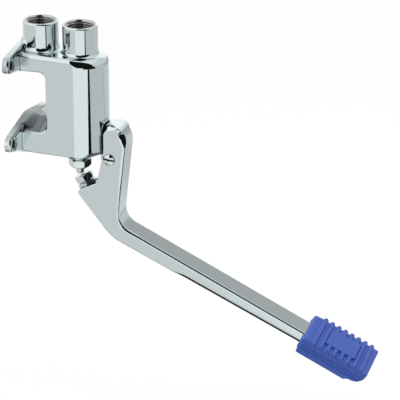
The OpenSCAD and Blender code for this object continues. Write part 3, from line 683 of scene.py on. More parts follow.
def body_shape(b, thread):
    """Distance function of the body casting."""
    upper = flange_outline(b, HALF_RISE, b.upper_crown, b.gap_top)
    lower = flange_outline(b, -HALF_RISE, b.lower_crown, b.bottom_z + b.arm_rise)
    tongue_side = tongue_outline(b)
    top_start = (b.column_x + b.column_r / 2, b.top_z)
    top_way = unit(np.array([b.top_rise, top_start[0]]))
    under_start = (b.gap_x + b.edge_r, b.bottom_z)
    under_way = unit(np.array([-b.arm_rise, -under_start[0]]))
    roof_way = b.side_y / math.hypot(b.side_y, b.roof_rise)
    boss_way = unit(np.array([b.boss_h, b.boss_end_r - b.boss_r]))
    top_turn = (b.column_x - 3 * MM, b.column_x + 4 * MM)
    foot_turn = (b.column_x + 5 * MM, PIVOT[0] - 8 * MM)
    ridge_r, blend_run, boss_root = 1.5 * MM, 4 * MM, 4 * MM
    cap_x, cap_z = b.flange_t + 4 * MM, b.gap_bottom - 8 * MM

    def block(x, y, z):
        """Column and arms."""
        front = np.hypot(x - b.column_x, y) - b.column_r
        plan = np.minimum(np.maximum(np.abs(y) - b.side_y, x - b.column_x), front)
        edge = between(b.edge_r, b.front_edge_r, ease(x, *top_turn))
        foot_edge = between(b.foot_edge_r, b.front_foot_r, ease(x, *foot_turn))
        top = along_way(top_way, top_start, x, z)
        solid = soft_common(soft_common(plan, top, edge), b.bottom_z - z, foot_edge)
        roof = b.gap_bottom + b.roof_rise * (1 - np.hypot(y, ridge_r) / b.side_y)
        gap = soft_common(x - b.gap_x, z - b.gap_top, b.gap_r)
        gap = soft_common(gap, (roof - z) * roof_way, b.gap_r)
        solid = soft_cut(solid, gap, b.gap_edge_r)
        return soft_common(solid, along_way(under_way, under_start, x, z), b.foot_edge_r)

    def with_flanges(solid, x, y, z):
        """Flanges blended into the arms; in the gap the lower one keeps to its outline."""
        thick = span(x, -b.flange_t, b.flange_t)
        above = ease(b.side_y - np.abs(y), 0, blend_run)
        for outline, blend in ((upper, b.upper_blend), (lower, b.lower_blend)):
            plate = soft_common(polygon_distance(outline, y, z), thick, b.flange_edge_r)
            solid = soft_join(solid, plate, between(b.flank_blend, blend, above))
        in_gap = (x < cap_x) & (z > cap_z) & (z < 0)
        return soft_common(solid, np.where(in_gap, polygon_distance(lower, y, z), -BIG), SOFT_EDGE)

    def with_sockets(solid, x, y, z):
        """Round pipe sockets on the top face."""
        sockets = np.minimum(*(
            soft_common(np.hypot(x - at_x, y) - b.socket_r, span(z, b.top_z - b.edge_r, rim), b.rim_edge_r)
            for at_x, rim in ((b.column_x, b.inlet_rim), (b.outlet_x, b.outlet_rim))))
        to_inlet = ease(x, b.outlet_x, b.column_x - b.socket_r)
        return soft_join(solid, sockets, between(b.outlet_blend, b.inlet_blend, to_inlet))

    def with_tongue(solid, x, y, z):
        """Tongue that carries the lever."""
        end = np.hypot(x - PIVOT[0], z - PIVOT[1]) - b.tongue_r
        tongue = np.minimum(polygon_distance(tongue_side, x, z), end)
        tongue = soft_common(tongue, np.abs(y) - b.tongue_w / 2, SLOT_EDGE)
        return soft_join(solid, tongue, TONGUE_BLEND)

    def with_boss(solid, x, y, z):
        """Tapered boss under the column."""
        boss = along_way(boss_way, (b.boss_r, b.bottom_z), np.hypot(x - b.spindle_x, y), z)
        boss = np.maximum(boss, z - b.bottom_z - boss_root)
        return soft_join(solid, soft_common(boss, b.bottom_z - b.boss_h - z, BOSS_EDGE), BOSS_BLEND)

    def distance(x, y, z):
        solid = block(x, y, z)
        for add in (with_flanges, with_sockets, with_tongue, with_boss):
            solid = add(solid, x, y, z)
        solid = soft_common(solid, -x, WALL_EDGE)
        hole = np.hypot(np.abs(y) - HALF_SPAN, np.abs(z) - HALF_RISE)
        solid = soft_cut(solid, hole - HOLE_R, SCREW_HOLE_EDGE)
        spot = np.maximum(hole - b.spot_r, b.flange_t - b.spot_depth - x)
        solid = soft_cut(solid, spot, HOLE_EDGE)
        for bore in body_bores(b, thread, x, y, z):
            solid = soft_cut(solid, bore, BORE_EDGE)
        return solid

    return distance


def arm_ways(lever):
    """Directions along the arm and square to it, in the X-Z plane."""
    return (np.array([math.cos(lever.arm_slope), -math.sin(lever.arm_slope)]),
            np.array([math.sin(lever.arm_slope), math.cos(lever.arm_slope)]))


def bend_point(lever):
    """Corner of the bend on the arm's top."""
    return PIVOT + [lever.bend_out, -lever.bend_drop]


def screw_ways(screw):
    """Directions up the adjusting screw and square to it, in the X-Z plane."""
    return (np.array([-math.sin(screw.tilt), math.cos(screw.tilt)]),
            np.array([math.cos(screw.tilt), math.sin(screw.tilt)]))


def lever_outline(lever, screw):
    """Side view of the lever."""
    along, upward = arm_ways(lever)
    up, side = screw_ways(screw)
    bend = bend_point(lever)
    heel_top = np.array([screw.seat_x, screw.seat_z]) + up * HEEL_RISE
    heel_corner = heel_top - side * lever.heel_back
    heel_way = np.array([math.cos(lever.heel_slope), -math.sin(lever.heel_slope)])
    under = bend - upward * lever.arm_root_h
    under_way = along + upward * (lever.arm_root_h - lever.arm_tip_h) / lever.arm_l
    arm_end = lever.arm_l + ARM_INTO_BOOT
    rounded = (
        (PIVOT + [-lever.head_back, lever.head_rise], lever.head_r),
        (PIVOT + [lever.head_front, lever.head_rise - lever.head_fall], lever.nose_r),
        (bend, lever.bend_r),
        (bend + along * arm_end, 0),
        (under + under_way * arm_end, 0),
        (crossing(heel_corner, heel_way, under, under_way), lever.heel_turn_r),
        (heel_corner, lever.heel_r),
        (heel_top + side * lever.heel_front, lever.heel_r),
        (PIVOT - [lever.head_back + lever.cheek_swell, 0], lever.bend_r),
    )
    return rounded_outline(*zip(*rounded))


def plate_distance(lever, boot, s, y, t):
    """Distance to the foot plate, in the boot's own frame."""
    across = np.maximum(np.abs(y) - lever.plate_w / 2, np.abs(t + boot.high / 2) - lever.plate_h / 2)
    return np.maximum(across, span(s, PLATE_START, PLATE_START + lever.plate_l))


def lever_shape(lever, screw, boot, body):
    """Distance function of the lever casting."""
    outline = lever_outline(lever, screw)
    arm, bend = arm_ways(lever), bend_point(lever)
    up, side = screw_ways(screw)
    seat = (screw.seat_x, screw.seat_z)
    slot_top = PIVOT[1] + lever.head_rise - lever.head_cap
    crown_z = (PIVOT[1] + 18.5 * MM, PIVOT[1] + 24 * MM)
    crown_x = (PIVOT[0], PIVOT[0] + 8 * MM)
    facet_x = (PIVOT[0] + 4 * MM, PIVOT[0] + 9 * MM)
    facet_widths = [lever.facet_w, lever.neck_facet_w, lever.neck_facet_w,
                    CHEEK_FACET_SHARE * lever.head_facet_w, lever.head_facet_w, 0]
    under_s = (lever.under_facet_from, lever.under_facet_from + 12 * MM)
    spot_rise, shank_rise, shank_spare = (0, 6 * MM), (-9 * MM, 1 * MM), 0.02 * MM

    def distance(x, y, z):
        rim, side_out = polygon_distance(outline, x, z), np.abs(y) - lever.width / 2
        crown = ease(z, *crown_z) * (1 - ease(x, *crown_x))
        solid = soft_common(rim, side_out, between(lever.edge_r, lever.head_edge_r, crown))
        s, t = (along_way(way, bend, x, z) for way in arm)
        wide = np.interp(z, PIVOT[1] + FACET_HEIGHTS, facet_widths) * ease(x, *facet_x)
        under = ease(s, *under_s) * (t < -lever.arm_tip_h / 2)
        wide = wide + (lever.under_facet_w - lever.facet_w) * under
        facet = (rim + wide) * math.sin(lever.facet_turn) + side_out * math.cos(lever.facet_turn)
        solid = soft_common(solid, facet, SOFT_EDGE)
        solid = np.minimum(solid, plate_distance(lever, boot, s - lever.arm_l, y, t - boot.over))
        around = np.hypot(x - PIVOT[0], z - PIVOT[1])
        above = np.maximum(x - PIVOT[0] - lever.slot_r, span(z, PIVOT[1], slot_top))
        behind = np.maximum(x - PIVOT[0], span(z, PIVOT[1] - lever.slot_r, slot_top))
        slot = np.minimum(np.minimum(around - lever.slot_r, above), behind)
        solid = soft_cut(solid, np.maximum(slot, np.abs(y) - lever.slot_w / 2), SLOT_EDGE)
        relief = np.maximum(np.hypot(x - body.column_x, y) - lever.relief_r, body.bottom_z - z)
        solid = soft_cut(solid, relief, SLOT_EDGE)
        solid = soft_cut(solid, around - lever.pin_hole_r, HOLE_EDGE)
        rise = along_way(up, seat, x, z)
        off = np.hypot(along_way(side, seat, x, z), y)
        solid = soft_cut(solid, np.maximum(off - screw.spot_r, span(rise, *spot_rise)), HOLE_EDGE)
        shank = np.maximum(off - screw.shank_r - shank_spare, span(rise, *shank_rise))
        return soft_cut(solid, shank, BORE_EDGE)

    return distance


def boot_shape(boot, lever):
    """Distance function of the boot in its own frame: s from the arm's side, y across, t up from the top."""
    half_w = boot.wide / 2
    rib_r = (boot.rib_w ** 2 / 4 + boot.rib_h ** 2) / (2 * boot.rib_h)
    rib_last = boot.rib_count - 1
    panel_mid = boot.rib_first + boot.rib_pitch * rib_last / 2
    toe_s = (boot.toe_from, boot.toe_from + 4 * MM)
    lap_s, lap_edge_s = (4 * MM, 8 * MM), (2 * MM, 8 * MM)
    pocket_s = (-3 * MM, ARM_INTO_BOOT)

    def distance(s, y, t):
        low = -boot.high + boot.toe_rise * ease(s, *toe_s)
        plan = rounded_rectangle(s, y, (-boot.lap, -half_w), (boot.long, half_w), boot.corner_r)
        for level in (boot.upper_band, boot.lower_band):
            plan = plan - boot.band_h * np.exp(-((t - level) / boot.band_w) ** 2)
        plan = plan + boot.tuck * ease(boot.lower_band - t, 0, boot.high + boot.lower_band)
        toe = soft_common(low - t, s - boot.long - math.tan(boot.end_lean) * t, boot.toe_r)
        top = t - boot.lap_rise * (1 - ease(s, *lap_s))
        edge = between(boot.edge_r, boot.lap_edge_r, 1 - ease(s, *lap_edge_s))
        solid = soft_common(soft_common(plan, toe, boot.foot_edge_r), top, edge)
        nearest = np.clip(np.round((s - boot.rib_first) / boot.rib_pitch), 0, rib_last)
        off = s - boot.rib_first - nearest * boot.rib_pitch
        ribs = np.hypot(off, t - boot.rib_h + rib_r) - rib_r
        ribs = soft_common(ribs, np.abs(y) - half_w - boot.rib_past, RIB_EDGE)
        panel = np.maximum(np.abs(s - panel_mid), np.abs(y)) - boot.panel / 2
        panel = soft_common(panel, span(t, -boot.over, boot.rib_h), boot.panel_edge_r)
        solid = soft_join(solid, np.minimum(ribs, panel), SOFT_EDGE)
        arm_low = -boot.over - lever.arm_tip_h
        arm = np.maximum(np.abs(y) - lever.width / 2, span(t, arm_low, -boot.over))
        solid = soft_cut(solid, np.maximum(arm, span(s, *pocket_s)), SOFT_EDGE)
        return np.maximum(solid, -plate_distance(lever, boot, s, y, t))

    return distance


# Finishes


# Point attribute that holds how much painted shade, a dark tone where shade falls, each point gets
PAINTED_SHADE_MARK = "raw"
TURNED_ROUGHNESS = {"brass": 0.22, "bronze": 0.3, "steel": 0.2}
STAIN_TONE = 0.8
# Roughness that the painted shade, turning rings and the rubber's grain add
SHADE_ROUGHNESS = 0.6
RING_ROUGHNESS = 0.12
GRAIN_ROUGHNESS = 0.2


def made_once(store):
    """Decorator for a maker of named data: a name that the store already holds is used again."""
    def wrap(make):
        @functools.wraps(make)
        def found_or_made(name, *values, **named):
            return getattr(bpy.data, store).get(name) or make(name, *values, **named)
        return found_or_made
    return wrap


def feed(tree, node, values):
    """Gives a node's sockets numbers, colours or links."""
    for name, value in values.items():
        if isinstance(value, bpy.types.NodeSocket):
            tree.links.new(value, node.inputs[name])
        else:
            node.inputs[name].default_value = value


def add_node(tree, kind, values=None, **settings):
    """New node with its settings and with what its sockets are given."""
    node = tree.nodes.new(kind)
    for name, value in settings.items():
        setattr(node, name, value)
    feed(tree, node, values or {})
    return node


def calc(tree, operation, *values):
    """Result of a new math node."""
    return add_node(tree, "ShaderNodeMath", dict(enumerate(values)), operation=operation).outputs[0]


def mixed_number(tree, share, first, second):
    """Number between two others."""
    return add_node(tree, "ShaderNodeMix", {"Factor": share, 2: first, 3: second}).outputs[0]


def mixed_tone(tree, share, first, second):
    """Colour between two others."""
    sockets = {"Factor": share, 6: first, 7: second}
    return add_node(tree, "ShaderNodeMix", sockets, data_type="RGBA").outputs[2]


def surface_noise(tree, scale, detail, roughness=0.5):
    """Noise that stays on the surface of a piece."""
    place = add_node(tree, "ShaderNodeTexCoord")
    return add_node(tree, "ShaderNodeTexNoise", {
        "Vector": place.outputs["Object"], "Scale": scale, "Detail": detail,
        "Roughness": roughness}).outputs["Fac"]


def new_group(name, inputs, outputs):
    """New shader node group with number or colour sockets."""
    tree = bpy.data.node_groups.new(name, "ShaderNodeTree")
    for label, (kind, value) in inputs.items():
        socket = tree.interface.new_socket(label, in_out="INPUT", socket_type="NodeSocket" + kind)
        socket.default_value = value
    for label, kind in outputs.items():
        tree.interface.new_socket(label, in_out="OUTPUT", socket_type="NodeSocket" + kind)
    return tree, tree.nodes.new("NodeGroupInput").outputs, tree.nodes.new("NodeGroupOutput")


@made_once("node_groups")
def polish_group(name):
    """Polished plating on a casting: soft ripples, a breath of haze, and painted shade, dark and rougher, where
    it is marked.
    """
    tree, given, out = new_group(
        name,
        {"Plated tone": ("Color", (0.6, 0.6, 0.6, 1)), "Raw tone": ("Color", (0.05, 0.05, 0.05, 1)),
         "Ripple scale": ("Float", 60.0), "Roughness": ("Float", 0.07), "Haze": ("Float", 0.03)},
        {"Color": "Color", "Roughness": "Float", "Ripple": "Float"})
    raw = add_node(tree, "ShaderNodeAttribute", attribute_name=PAINTED_SHADE_MARK).outputs["Fac"]
    haze = calc(tree, "SUBTRACT", surface_noise(tree, scale=240.0, detail=4.0, roughness=0.6), 0.5)
    rough = calc(tree, "MULTIPLY_ADD", haze, given["Haze"], given["Roughness"])
    feed(tree, out, {
        "Color": mixed_tone(tree, raw, given["Plated tone"], given["Raw tone"]),
        "Roughness": calc(tree, "MULTIPLY_ADD", raw, SHADE_ROUGHNESS, rough),
        "Ripple": surface_noise(tree, given["Ripple scale"], detail=1.0)})
    return tree


@made_once("node_groups")
def turning_group(name):
    """Fine rings left by turning, and slight stains."""
    tree, given, out = new_group(
        name,
        {"Rings": ("Float", 2500.0), "Roughness": ("Float", 0.2)},
        {"Roughness": "Float", "Rings": "Float", "Tone": "Float"})
    place = add_node(tree, "ShaderNodeTexCoord")
    parts = add_node(tree, "ShaderNodeSeparateXYZ", {0: place.outputs["Object"]})
    rings = add_node(tree, "ShaderNodeTexNoise", {
        "W": parts.outputs["Z"], "Scale": given["Rings"], "Detail": 2.0},
        noise_dimensions="1D").outputs["Fac"]
    feed(tree, out, {
        "Roughness": calc(tree, "MULTIPLY_ADD", rings, RING_ROUGHNESS, given["Roughness"]),
        "Rings": rings,
        "Tone": surface_noise(tree, scale=300.0, detail=3.0)})
    return tree


@made_once("node_groups")
def moulding_group(name):
    """Matt skin of moulded rubber: fine grain and slow clouds of tone."""
    tree, given, out = new_group(
        name,
        {"Light tone": ("Color", (0.1, 0.1, 0.1, 1)), "Deep tone": ("Color", (0.05, 0.05, 0.05, 1)),
         "Grain scale": ("Float", 1500.0), "Roughness": ("Float", 0.5)},
        {"Color": "Color", "Roughness": "Float", "Grain": "Float"})
    grain = surface_noise(tree, given["Grain scale"], detail=3.0)
    cloud = add_node(tree, "ShaderNodeMapRange", {
        "Value": surface_noise(tree, scale=90.0, detail=3.0), "From Min": 0.3, "From Max": 0.7,
        "To Min": 0.0, "To Max": 0.35}).outputs[0]
    feed(tree, out, {
        "Color": mixed_tone(tree, cloud, given["Light tone"], given["Deep tone"]),
        "Roughness": calc(tree, "MULTIPLY_ADD", grain, GRAIN_ROUGHNESS, given["Roughness"]),
        "Grain": grain})
    return tree


def mark_painted_shade(piece, share):
    """Notes on each point of a piece how much painted shade it gets."""
    mark = piece.data.attributes.new(PAINTED_SHADE_MARK, "FLOAT", "POINT")
    mark.data.foreach_set("value", np.asarray(share, np.float32))


def new_finish(name):
    """New material with its node tree and the shader in it."""
    finish = bpy.data.materials.new(name)
    finish.use_nodes = True
    return finish, finish.node_tree, finish.node_tree.nodes["Principled BSDF"]


def dress(tree, shader, tone, roughness, height, strength, depth):
    """Gives a shader its tone, its roughness and a bump."""
    bump = add_node(tree, "ShaderNodeBump", {"Height": height, "Strength": strength, "Distance": depth})
    feed(tree, shader, {"Base Color": tone, "Roughness": roughness, "Normal": bump.outputs["Normal"]})


@made_once("materials")
def plated(name, rgb, raw, roughness, haze, ripple_scale, ripple):
    """Polished plating."""
    finish, tree, shader = new_finish(name)
    skin = add_node(tree, "ShaderNodeGroup", {
        "Plated tone": (*rgb, 1), "Raw tone": (*raw, 1), "Ripple scale": ripple_scale,
        "Roughness": roughness, "Haze": haze}, node_tree=polish_group("plating_polish")).outputs
    feed(tree, shader, {"Metallic": 1})
    dress(tree, shader, skin["Color"], skin["Roughness"], skin["Ripple"], strength=1.0, depth=ripple)
    return finish


@made_once("materials")
def turned_metal(name, rgb, roughness):
    """Metal with turning marks and slight stains."""
    finish, tree, shader = new_finish(name)
    marks = add_node(tree, "ShaderNodeGroup", {"Roughness": roughness},
                     node_tree=turning_group("turning_marks")).outputs
    tone = mixed_tone(tree, marks["Tone"], (*rgb, 1), (*(STAIN_TONE * part for part in rgb), 1))
    feed(tree, shader, {"Metallic": 1})
    dress(tree, shader, tone, marks["Roughness"], marks["Rings"], strength=0.25, depth=0.02 * MM)
    return finish


@made_once("materials")
def rubber(name, light, deep, roughness, grain):
    """Moulded rubber."""
    finish, tree, shader = new_finish(name)
    skin = add_node(tree, "ShaderNodeGroup", {
        "Light tone": (*light, 1), "Deep tone": (*deep, 1), "Roughness": roughness},
        node_tree=moulding_group("moulded_skin")).outputs
    feed(tree, shader, {"Specular IOR Level": 0.55})
    dress(tree, shader, skin["Color"], skin["Roughness"], skin["Grain"], strength=0.3, depth=grain)
    return finish


def finish_of(slot):
    """Finish that belongs to a material slot of the record."""
    f = bpy.context.scene.tap_finish
    if slot == "chrome":
        return plated("polished_chrome", f.chrome, f.raw, f.chrome_gloss,
                      haze=0.04, ripple_scale=45.0, ripple=0.02 * MM)
    if slot == "black_rubber":
        return rubber("black_seal_rubber", f.black_rubber, f.black_rubber, roughness=0.35, grain=0.02 * MM)
    if slot == "blue_rubber":
        return rubber("blue_boot_rubber", f.blue_rubber, f.blue_deep, roughness=0.45, grain=0.05 * MM)
    return turned_metal("turned_" + slot, getattr(f, slot), TURNED_ROUGHNESS[slot])


def replace_node(node, points, faces, normals=None, name=None):
    """Detailed piece in place of a CAD node, on the node's own body and slot."""
    body = next(b for b, nodes in frame["record"]["behaviour"]["bodies"].items() if node in nodes)
    slot = next(part["material_slot"] for part in frame["record"]["subparts"] if part["node"] == node)
    piece = new_piece(name or node + "_form", points, faces, body, finish_of(slot), normals)
    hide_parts(node)
    return piece


def turned_piece(node, rings, place):
    """Turned piece with broken edges in place of a CAD node."""
    break_edges(replace_node(node, *lathe(rings, place)), bpy.context.scene.tap_screw.edge)


# Operators


# Castings: painted shade on the body behind the lever, in the gap and on the gusset by the wall, and how much
# of the gap's painted shade the lugs lose
BEHIND_SHADE = 0.8
GAP_SHADE = 0.62
GUSSET_SHADE = 0.25
LUG_SHINE = 0.6
# How far a face has to look up or down to count as level, towards the wall to count as the lever's back, and
# across to count as a side of the slot
LEVEL_FACES = (0.25, 0.6)
BACK_FACES = (0.8, 0.93)
SLOT_FACES = 0.5
# Threads: rows of points to a turn, and where a flank starts and ends between crest and root
THREAD_ROWS = 14
THREAD_FLANK = (0.12, 0.88)
# Turned pieces: how the hexagons stand, their chamfers, the share of these on the gland nut's top, the slope
# of the flatter ones, the screw's pointed end, the room round shanks and the gland washer's inset
GLAND_TURN = math.radians(12)
SCREW_TURN = math.radians(45.5)
GLAND_CHAMFER = 1 * MM
GLAND_TOP_SHARE = 0.6
SCREW_CHAMFER = 0.5 * MM
SLIGHT_CONE = 0.5
SHANK_POINT = 1 * MM
BORE_ROOM = 0.05 * MM
BARREL_ROOM = 0.1 * MM
HOLE_ROOM = 0.02 * MM
WASHER_INSET = 0.6 * MM
# Spindle: radius and rings of its crowned tip, radii of clip groove, collar and neck, and the collar's height
TIP_R = 4 * MM
TIP_RINGS = 9
GROOVE_R = 2.25 * MM
COLLAR_R = 3.5 * MM
NECK_R = 2.5 * MM
COLLAR_H = 1.5 * MM
# Pivot pin: how far it stands past its CAD ends, its dome, its slot and its mesh cells
PIN_PROUD = 0.5 * MM
PIN_DOME = 1.0 * MM
PIN_SLOT_W = 1.1 * MM
PIN_SLOT_DEPTH = 1.3 * MM
PIN_SLOT_TURN = math.radians(-7)
PIN_SLOT_EDGE = 0.12 * MM
PIN_SLOT_SPARE = 0.1 * MM
PIN_CELL = 0.3 * MM
# Return spring: its wire and its coils, steps to a coil and sides of the wire
WIRE_R = 0.55 * MM
COILS = 10
COIL_STEPS = 36
WIRE_SIDES = 12


class TAP_OT_body_casting(bpy.types.Operator):
    """Cast body with rounded edges and blended flanges, sockets and tongue"""

    bl_idname = "tap_valve.body_casting"
    bl_label = "Body casting"

    def execute(self, context):
        b, thread = context.scene.tap_body, context.scene.tap_thread
        low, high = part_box("valve_body")
        points, faces, normals = net_of(body_shape(b, thread), low, high, b.cell)
        piece = replace_node("valve_body", points, faces, normals, "body_casting")
        mark_painted_shade(piece, self.raw_share(b, points, normals))
        return {"FINISHED"}

    def raw_share(self, b, points, normals):
        """Painted shade in the screw holes, on the tongue, behind the lever and in the gap, and a lighter
        painted shade on the faces by the wall.
        """
        x, y, z = points.T
        spare, tongue_x = 0.2 * MM, b.column_x + b.column_r + 0.3 * MM
        hole = np.hypot(np.abs(y) - HALF_SPAN, np.abs(z) - HALF_RISE) < HOLE_R + spare
        tongue = (x > tongue_x) & (np.abs(y) < b.tongue_w / 2 + spare)
        behind_x = (b.column_x + 16.6 * MM, b.column_x + 17.8 * MM)
        behind_foot, behind_top = (b.bottom_z + 3 * MM, b.bottom_z + 6 * MM), (-29 * MM, -25 * MM)
        behind = ease(x, *behind_x) * band(z, behind_foot, behind_top)
        level = ease(np.abs(normals[:, 2]), *LEVEL_FACES)
        gap_end, lug_y = b.gap_x + 1 * MM, (b.side_y - 2 * MM, HALF_SPAN)
        gap_foot, gap_top = (b.gap_bottom - 6 * MM, b.gap_bottom - 4 * MM), (b.gap_top, b.gap_top + 1 * MM)
        inside = band(z, gap_foot, gap_top) * (x < gap_end) * (1 - LUG_SHINE * ease(np.abs(y), *lug_y))
        gusset_x, gusset_foot, gusset_top = (10 * MM, 14 * MM), (23 * MM, 26 * MM), (36 * MM, 40 * MM)
        gusset = (1 - ease(x, *gusset_x)) * band(z, gusset_foot, gusset_top)
        return np.maximum.reduce([
            hole, tongue, BEHIND_SHADE * behind, GAP_SHADE * level * inside, GUSSET_SHADE * gusset])


class TAP_OT_socket_threads(bpy.types.Operator):
    """Helical pipe threads in both sockets"""

    bl_idname = "tap_valve.socket_threads"
    bl_label = "Socket threads"

    def execute(self, context):
        b, thread = context.scene.tap_body, context.scene.tap_thread
        finish = turned_metal("tapped_thread", context.scene.tap_finish.tapped, roughness=0.1)
        for name, at_x, rim in (("inlet_thread", b.column_x, b.inlet_rim),
                                ("outlet_thread", b.outlet_x, b.outlet_rim)):
            points, faces = lathe(self.rings(thread, rim), Matrix.Translation((at_x, 0, 0)))
            new_piece(name, points, faces, "valve", finish)
        return {"FINISHED"}

    def rings(self, thread, rim):
        """Rings from the rim down, each cut where the helix passes through it."""
        turns = np.linspace(0, 1, LATHE_TURNS, endpoint=False)
        rings = [(thread.outer_r, rim - thread.depth)]
        for drop in np.linspace(thread.depth, 0, int(THREAD_ROWS * thread.depth / thread.pitch)):
            climbed = (thread.depth - drop) / thread.pitch
            rise = np.abs(2 * np.mod(climbed - turns, 1) - 1)
            cut = ease(rise, *THREAD_FLANK) * np.clip(climbed, 0, 1)
            radius = between(thread.minor_r, thread.major_r, cut)
            rings.append((np.maximum(radius, thread.mouth_r - drop), rim - drop))
        rings.append((thread.outer_r, rim))
        return rings[::-1]


class TAP_OT_lever_casting(bpy.types.Operator):
    """Cast lever with its forked head, heel, arm and foot plate"""

    bl_idname = "tap_valve.lever_casting"
    bl_label = "Lever casting"

    def execute(self, context):
        scene = context.scene
        shape = lever_shape(scene.tap_lever, scene.tap_screw, scene.tap_boot, scene.tap_body)
        low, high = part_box("lever")
        points, faces, normals = net_of(shape, low, high, scene.tap_lever.cell)
        piece = replace_node("lever", points, faces, normals, "lever_casting")
        mark_painted_shade(piece, self.raw_share(scene.tap_lever, points, normals))
        return {"FINISHED"}

    def raw_share(self, lever, points, normals):
        """Painted shade: on the back that faces the column, and in the slot between the cheeks."""
        x, y, z = points.T
        back_x, back_foot, spare = PIVOT[0] + 5 * MM, PIVOT[1] - 26 * MM, 0.3 * MM
        back = ease(-normals[:, 0], *BACK_FACES) * (x < back_x) * (z > back_foot)
        slot = (np.abs(y) < lever.slot_w / 2 + spare) & (np.abs(normals[:, 1]) > SLOT_FACES)
        return np.maximum(back, slot)


class TAP_OT_pedal_boot(bpy.types.Operator):
    """Ribbed rubber boot with a bare panel"""

    bl_idname = "tap_valve.pedal_boot"
    bl_label = "Pedal boot"

    def execute(self, context):
        boot, lever = context.scene.tap_boot, context.scene.tap_lever
        along, upward = arm_ways(lever)
        start = bend_point(lever) + along * lever.arm_l + upward * boot.over
        low = (-boot.lap - boot.band_h, -boot.wide / 2 - boot.rib_past, -boot.high)
        high = (boot.long + boot.band_h, boot.wide / 2 + boot.rib_past, boot.rib_h)
        points, faces, normals = net_of(boot_shape(boot, lever), low, high, boot.cell)
        ways = np.array([[along[0], 0, along[1]], [0, 1, 0], [upward[0], 0, upward[1]]])
        points = points @ ways + [start[0], 0, start[1]]
        replace_node("pedal_boot", points, faces, normals @ ways, "boot_rubber")
        return {"FINISHED"}


class TAP_OT_gland_and_spindle(bpy.types.Operator):
    """Gland nut and washer under the column, and the spindle through them"""

    bl_idname = "tap_valve.gland_and_spindle"
    bl_label = "Gland and spindle"

    def execute(self, context):
        b, screw = context.scene.tap_body, context.scene.tap_screw
        place = Matrix.Translation((b.spindle_x, 0, 0))
        washer_top = b.bottom_z - b.boss_h
        washer_low = washer_top - screw.gland_washer_t
        inner, outer = b.barrel_r + BARREL_ROOM, screw.gland_flats / 2 - WASHER_INSET
        turned_piece("gland_nut", self.nut_rings(b, screw, washer_low), place)
        turned_piece("gland_washer", washer_rings(inner, outer, washer_low, washer_top), place)
        turned_piece("spindle", self.spindle_rings(screw), place)
        return {"FINISHED"}

    def nut_rings(self, b, screw, top):
        """Rings of the gland nut: the hexagon and the shank over it."""
        low, shank_top = top - screw.gland_h, top + screw.gland_shank_l
        half = screw.gland_flats / 2
        hexagon = hexagon_radius(screw.gland_flats, GLAND_TURN)
        cone = hexagon - (half - GLAND_CHAMFER)
        bore, shank = screw.spindle_r + BORE_ROOM, b.barrel_r - BARREL_ROOM
        return [
            (bore, low), (half - GLAND_CHAMFER, low), (hexagon, low + cone),
            (hexagon, top - GLAND_TOP_SHARE * cone), (half - GLAND_TOP_SHARE * GLAND_CHAMFER, top),
            (shank, top), (shank, shank_top), (bore, shank_top)]

    def spindle_rings(self, screw):
        """Rings of the spindle: crowned tip, clip groove, collar and neck."""
        r, centre = screw.spindle_r, screw.tip_z + TIP_R
        tip = [(TIP_R * math.sin(t), centre - TIP_R * math.cos(t))
               for t in np.linspace(0, math.asin(r / TIP_R), TIP_RINGS)]
        groove_low, groove_top = (corner[2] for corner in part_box("spindle_clip"))
        collar_low, collar_top, top = screw.lip_z - COLLAR_H, screw.lip_z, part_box("spindle")[1][2]
        return tip + [
            (r, groove_low), (GROOVE_R, groove_low), (GROOVE_R, groove_top), (r, groove_top),
            (r, collar_low), (COLLAR_R, collar_low), (COLLAR_R, collar_top),
            (NECK_R, collar_top), (NECK_R, top), (0, top)]


class TAP_OT_adjusting_screw(bpy.types.Operator):
    """Adjusting screw in the heel with its lock nut and washer"""

    bl_idname = "tap_valve.adjusting_screw"
    bl_label = "Adjusting screw"

    def execute(self, context):
        screw = context.scene.tap_screw
        place = Matrix.Translation((screw.seat_x, 0, screw.seat_z)) @ Matrix.Rotation(-screw.tilt, 4, "Y")
        hexagon = hexagon_radius(screw.across_flats, SCREW_TURN)
        face_r = screw.across_flats / 2 - SCREW_CHAMFER
        cone = hexagon - face_r
        r, end, hole = screw.shank_r, -screw.shank_in, screw.shank_r + HOLE_ROOM
        nut_low, nut_top = screw.washer_t, screw.washer_t + screw.nut_t
        head_low = nut_top + screw.bare_l
        head_top = head_low + screw.head_h
        turned_piece("adjusting_screw", [
            (0, end), (r - SHANK_POINT, end), (r, end + SHANK_POINT), (r, head_low), (face_r, head_low),
            (hexagon, head_low + SLIGHT_CONE * cone), (hexagon, head_top - cone), (face_r, head_top),
            (0, head_top)], place)
        turned_piece("lock_nut", [
            (hole, nut_low), (face_r, nut_low), (hexagon, nut_low + SLIGHT_CONE * cone),
            (hexagon, nut_top - SLIGHT_CONE * cone), (face_r, nut_top), (hole, nut_top)], place)
        turned_piece("lock_washer", washer_rings(hole, screw.washer_r, 0, screw.washer_t), place)
        return {"FINISHED"}


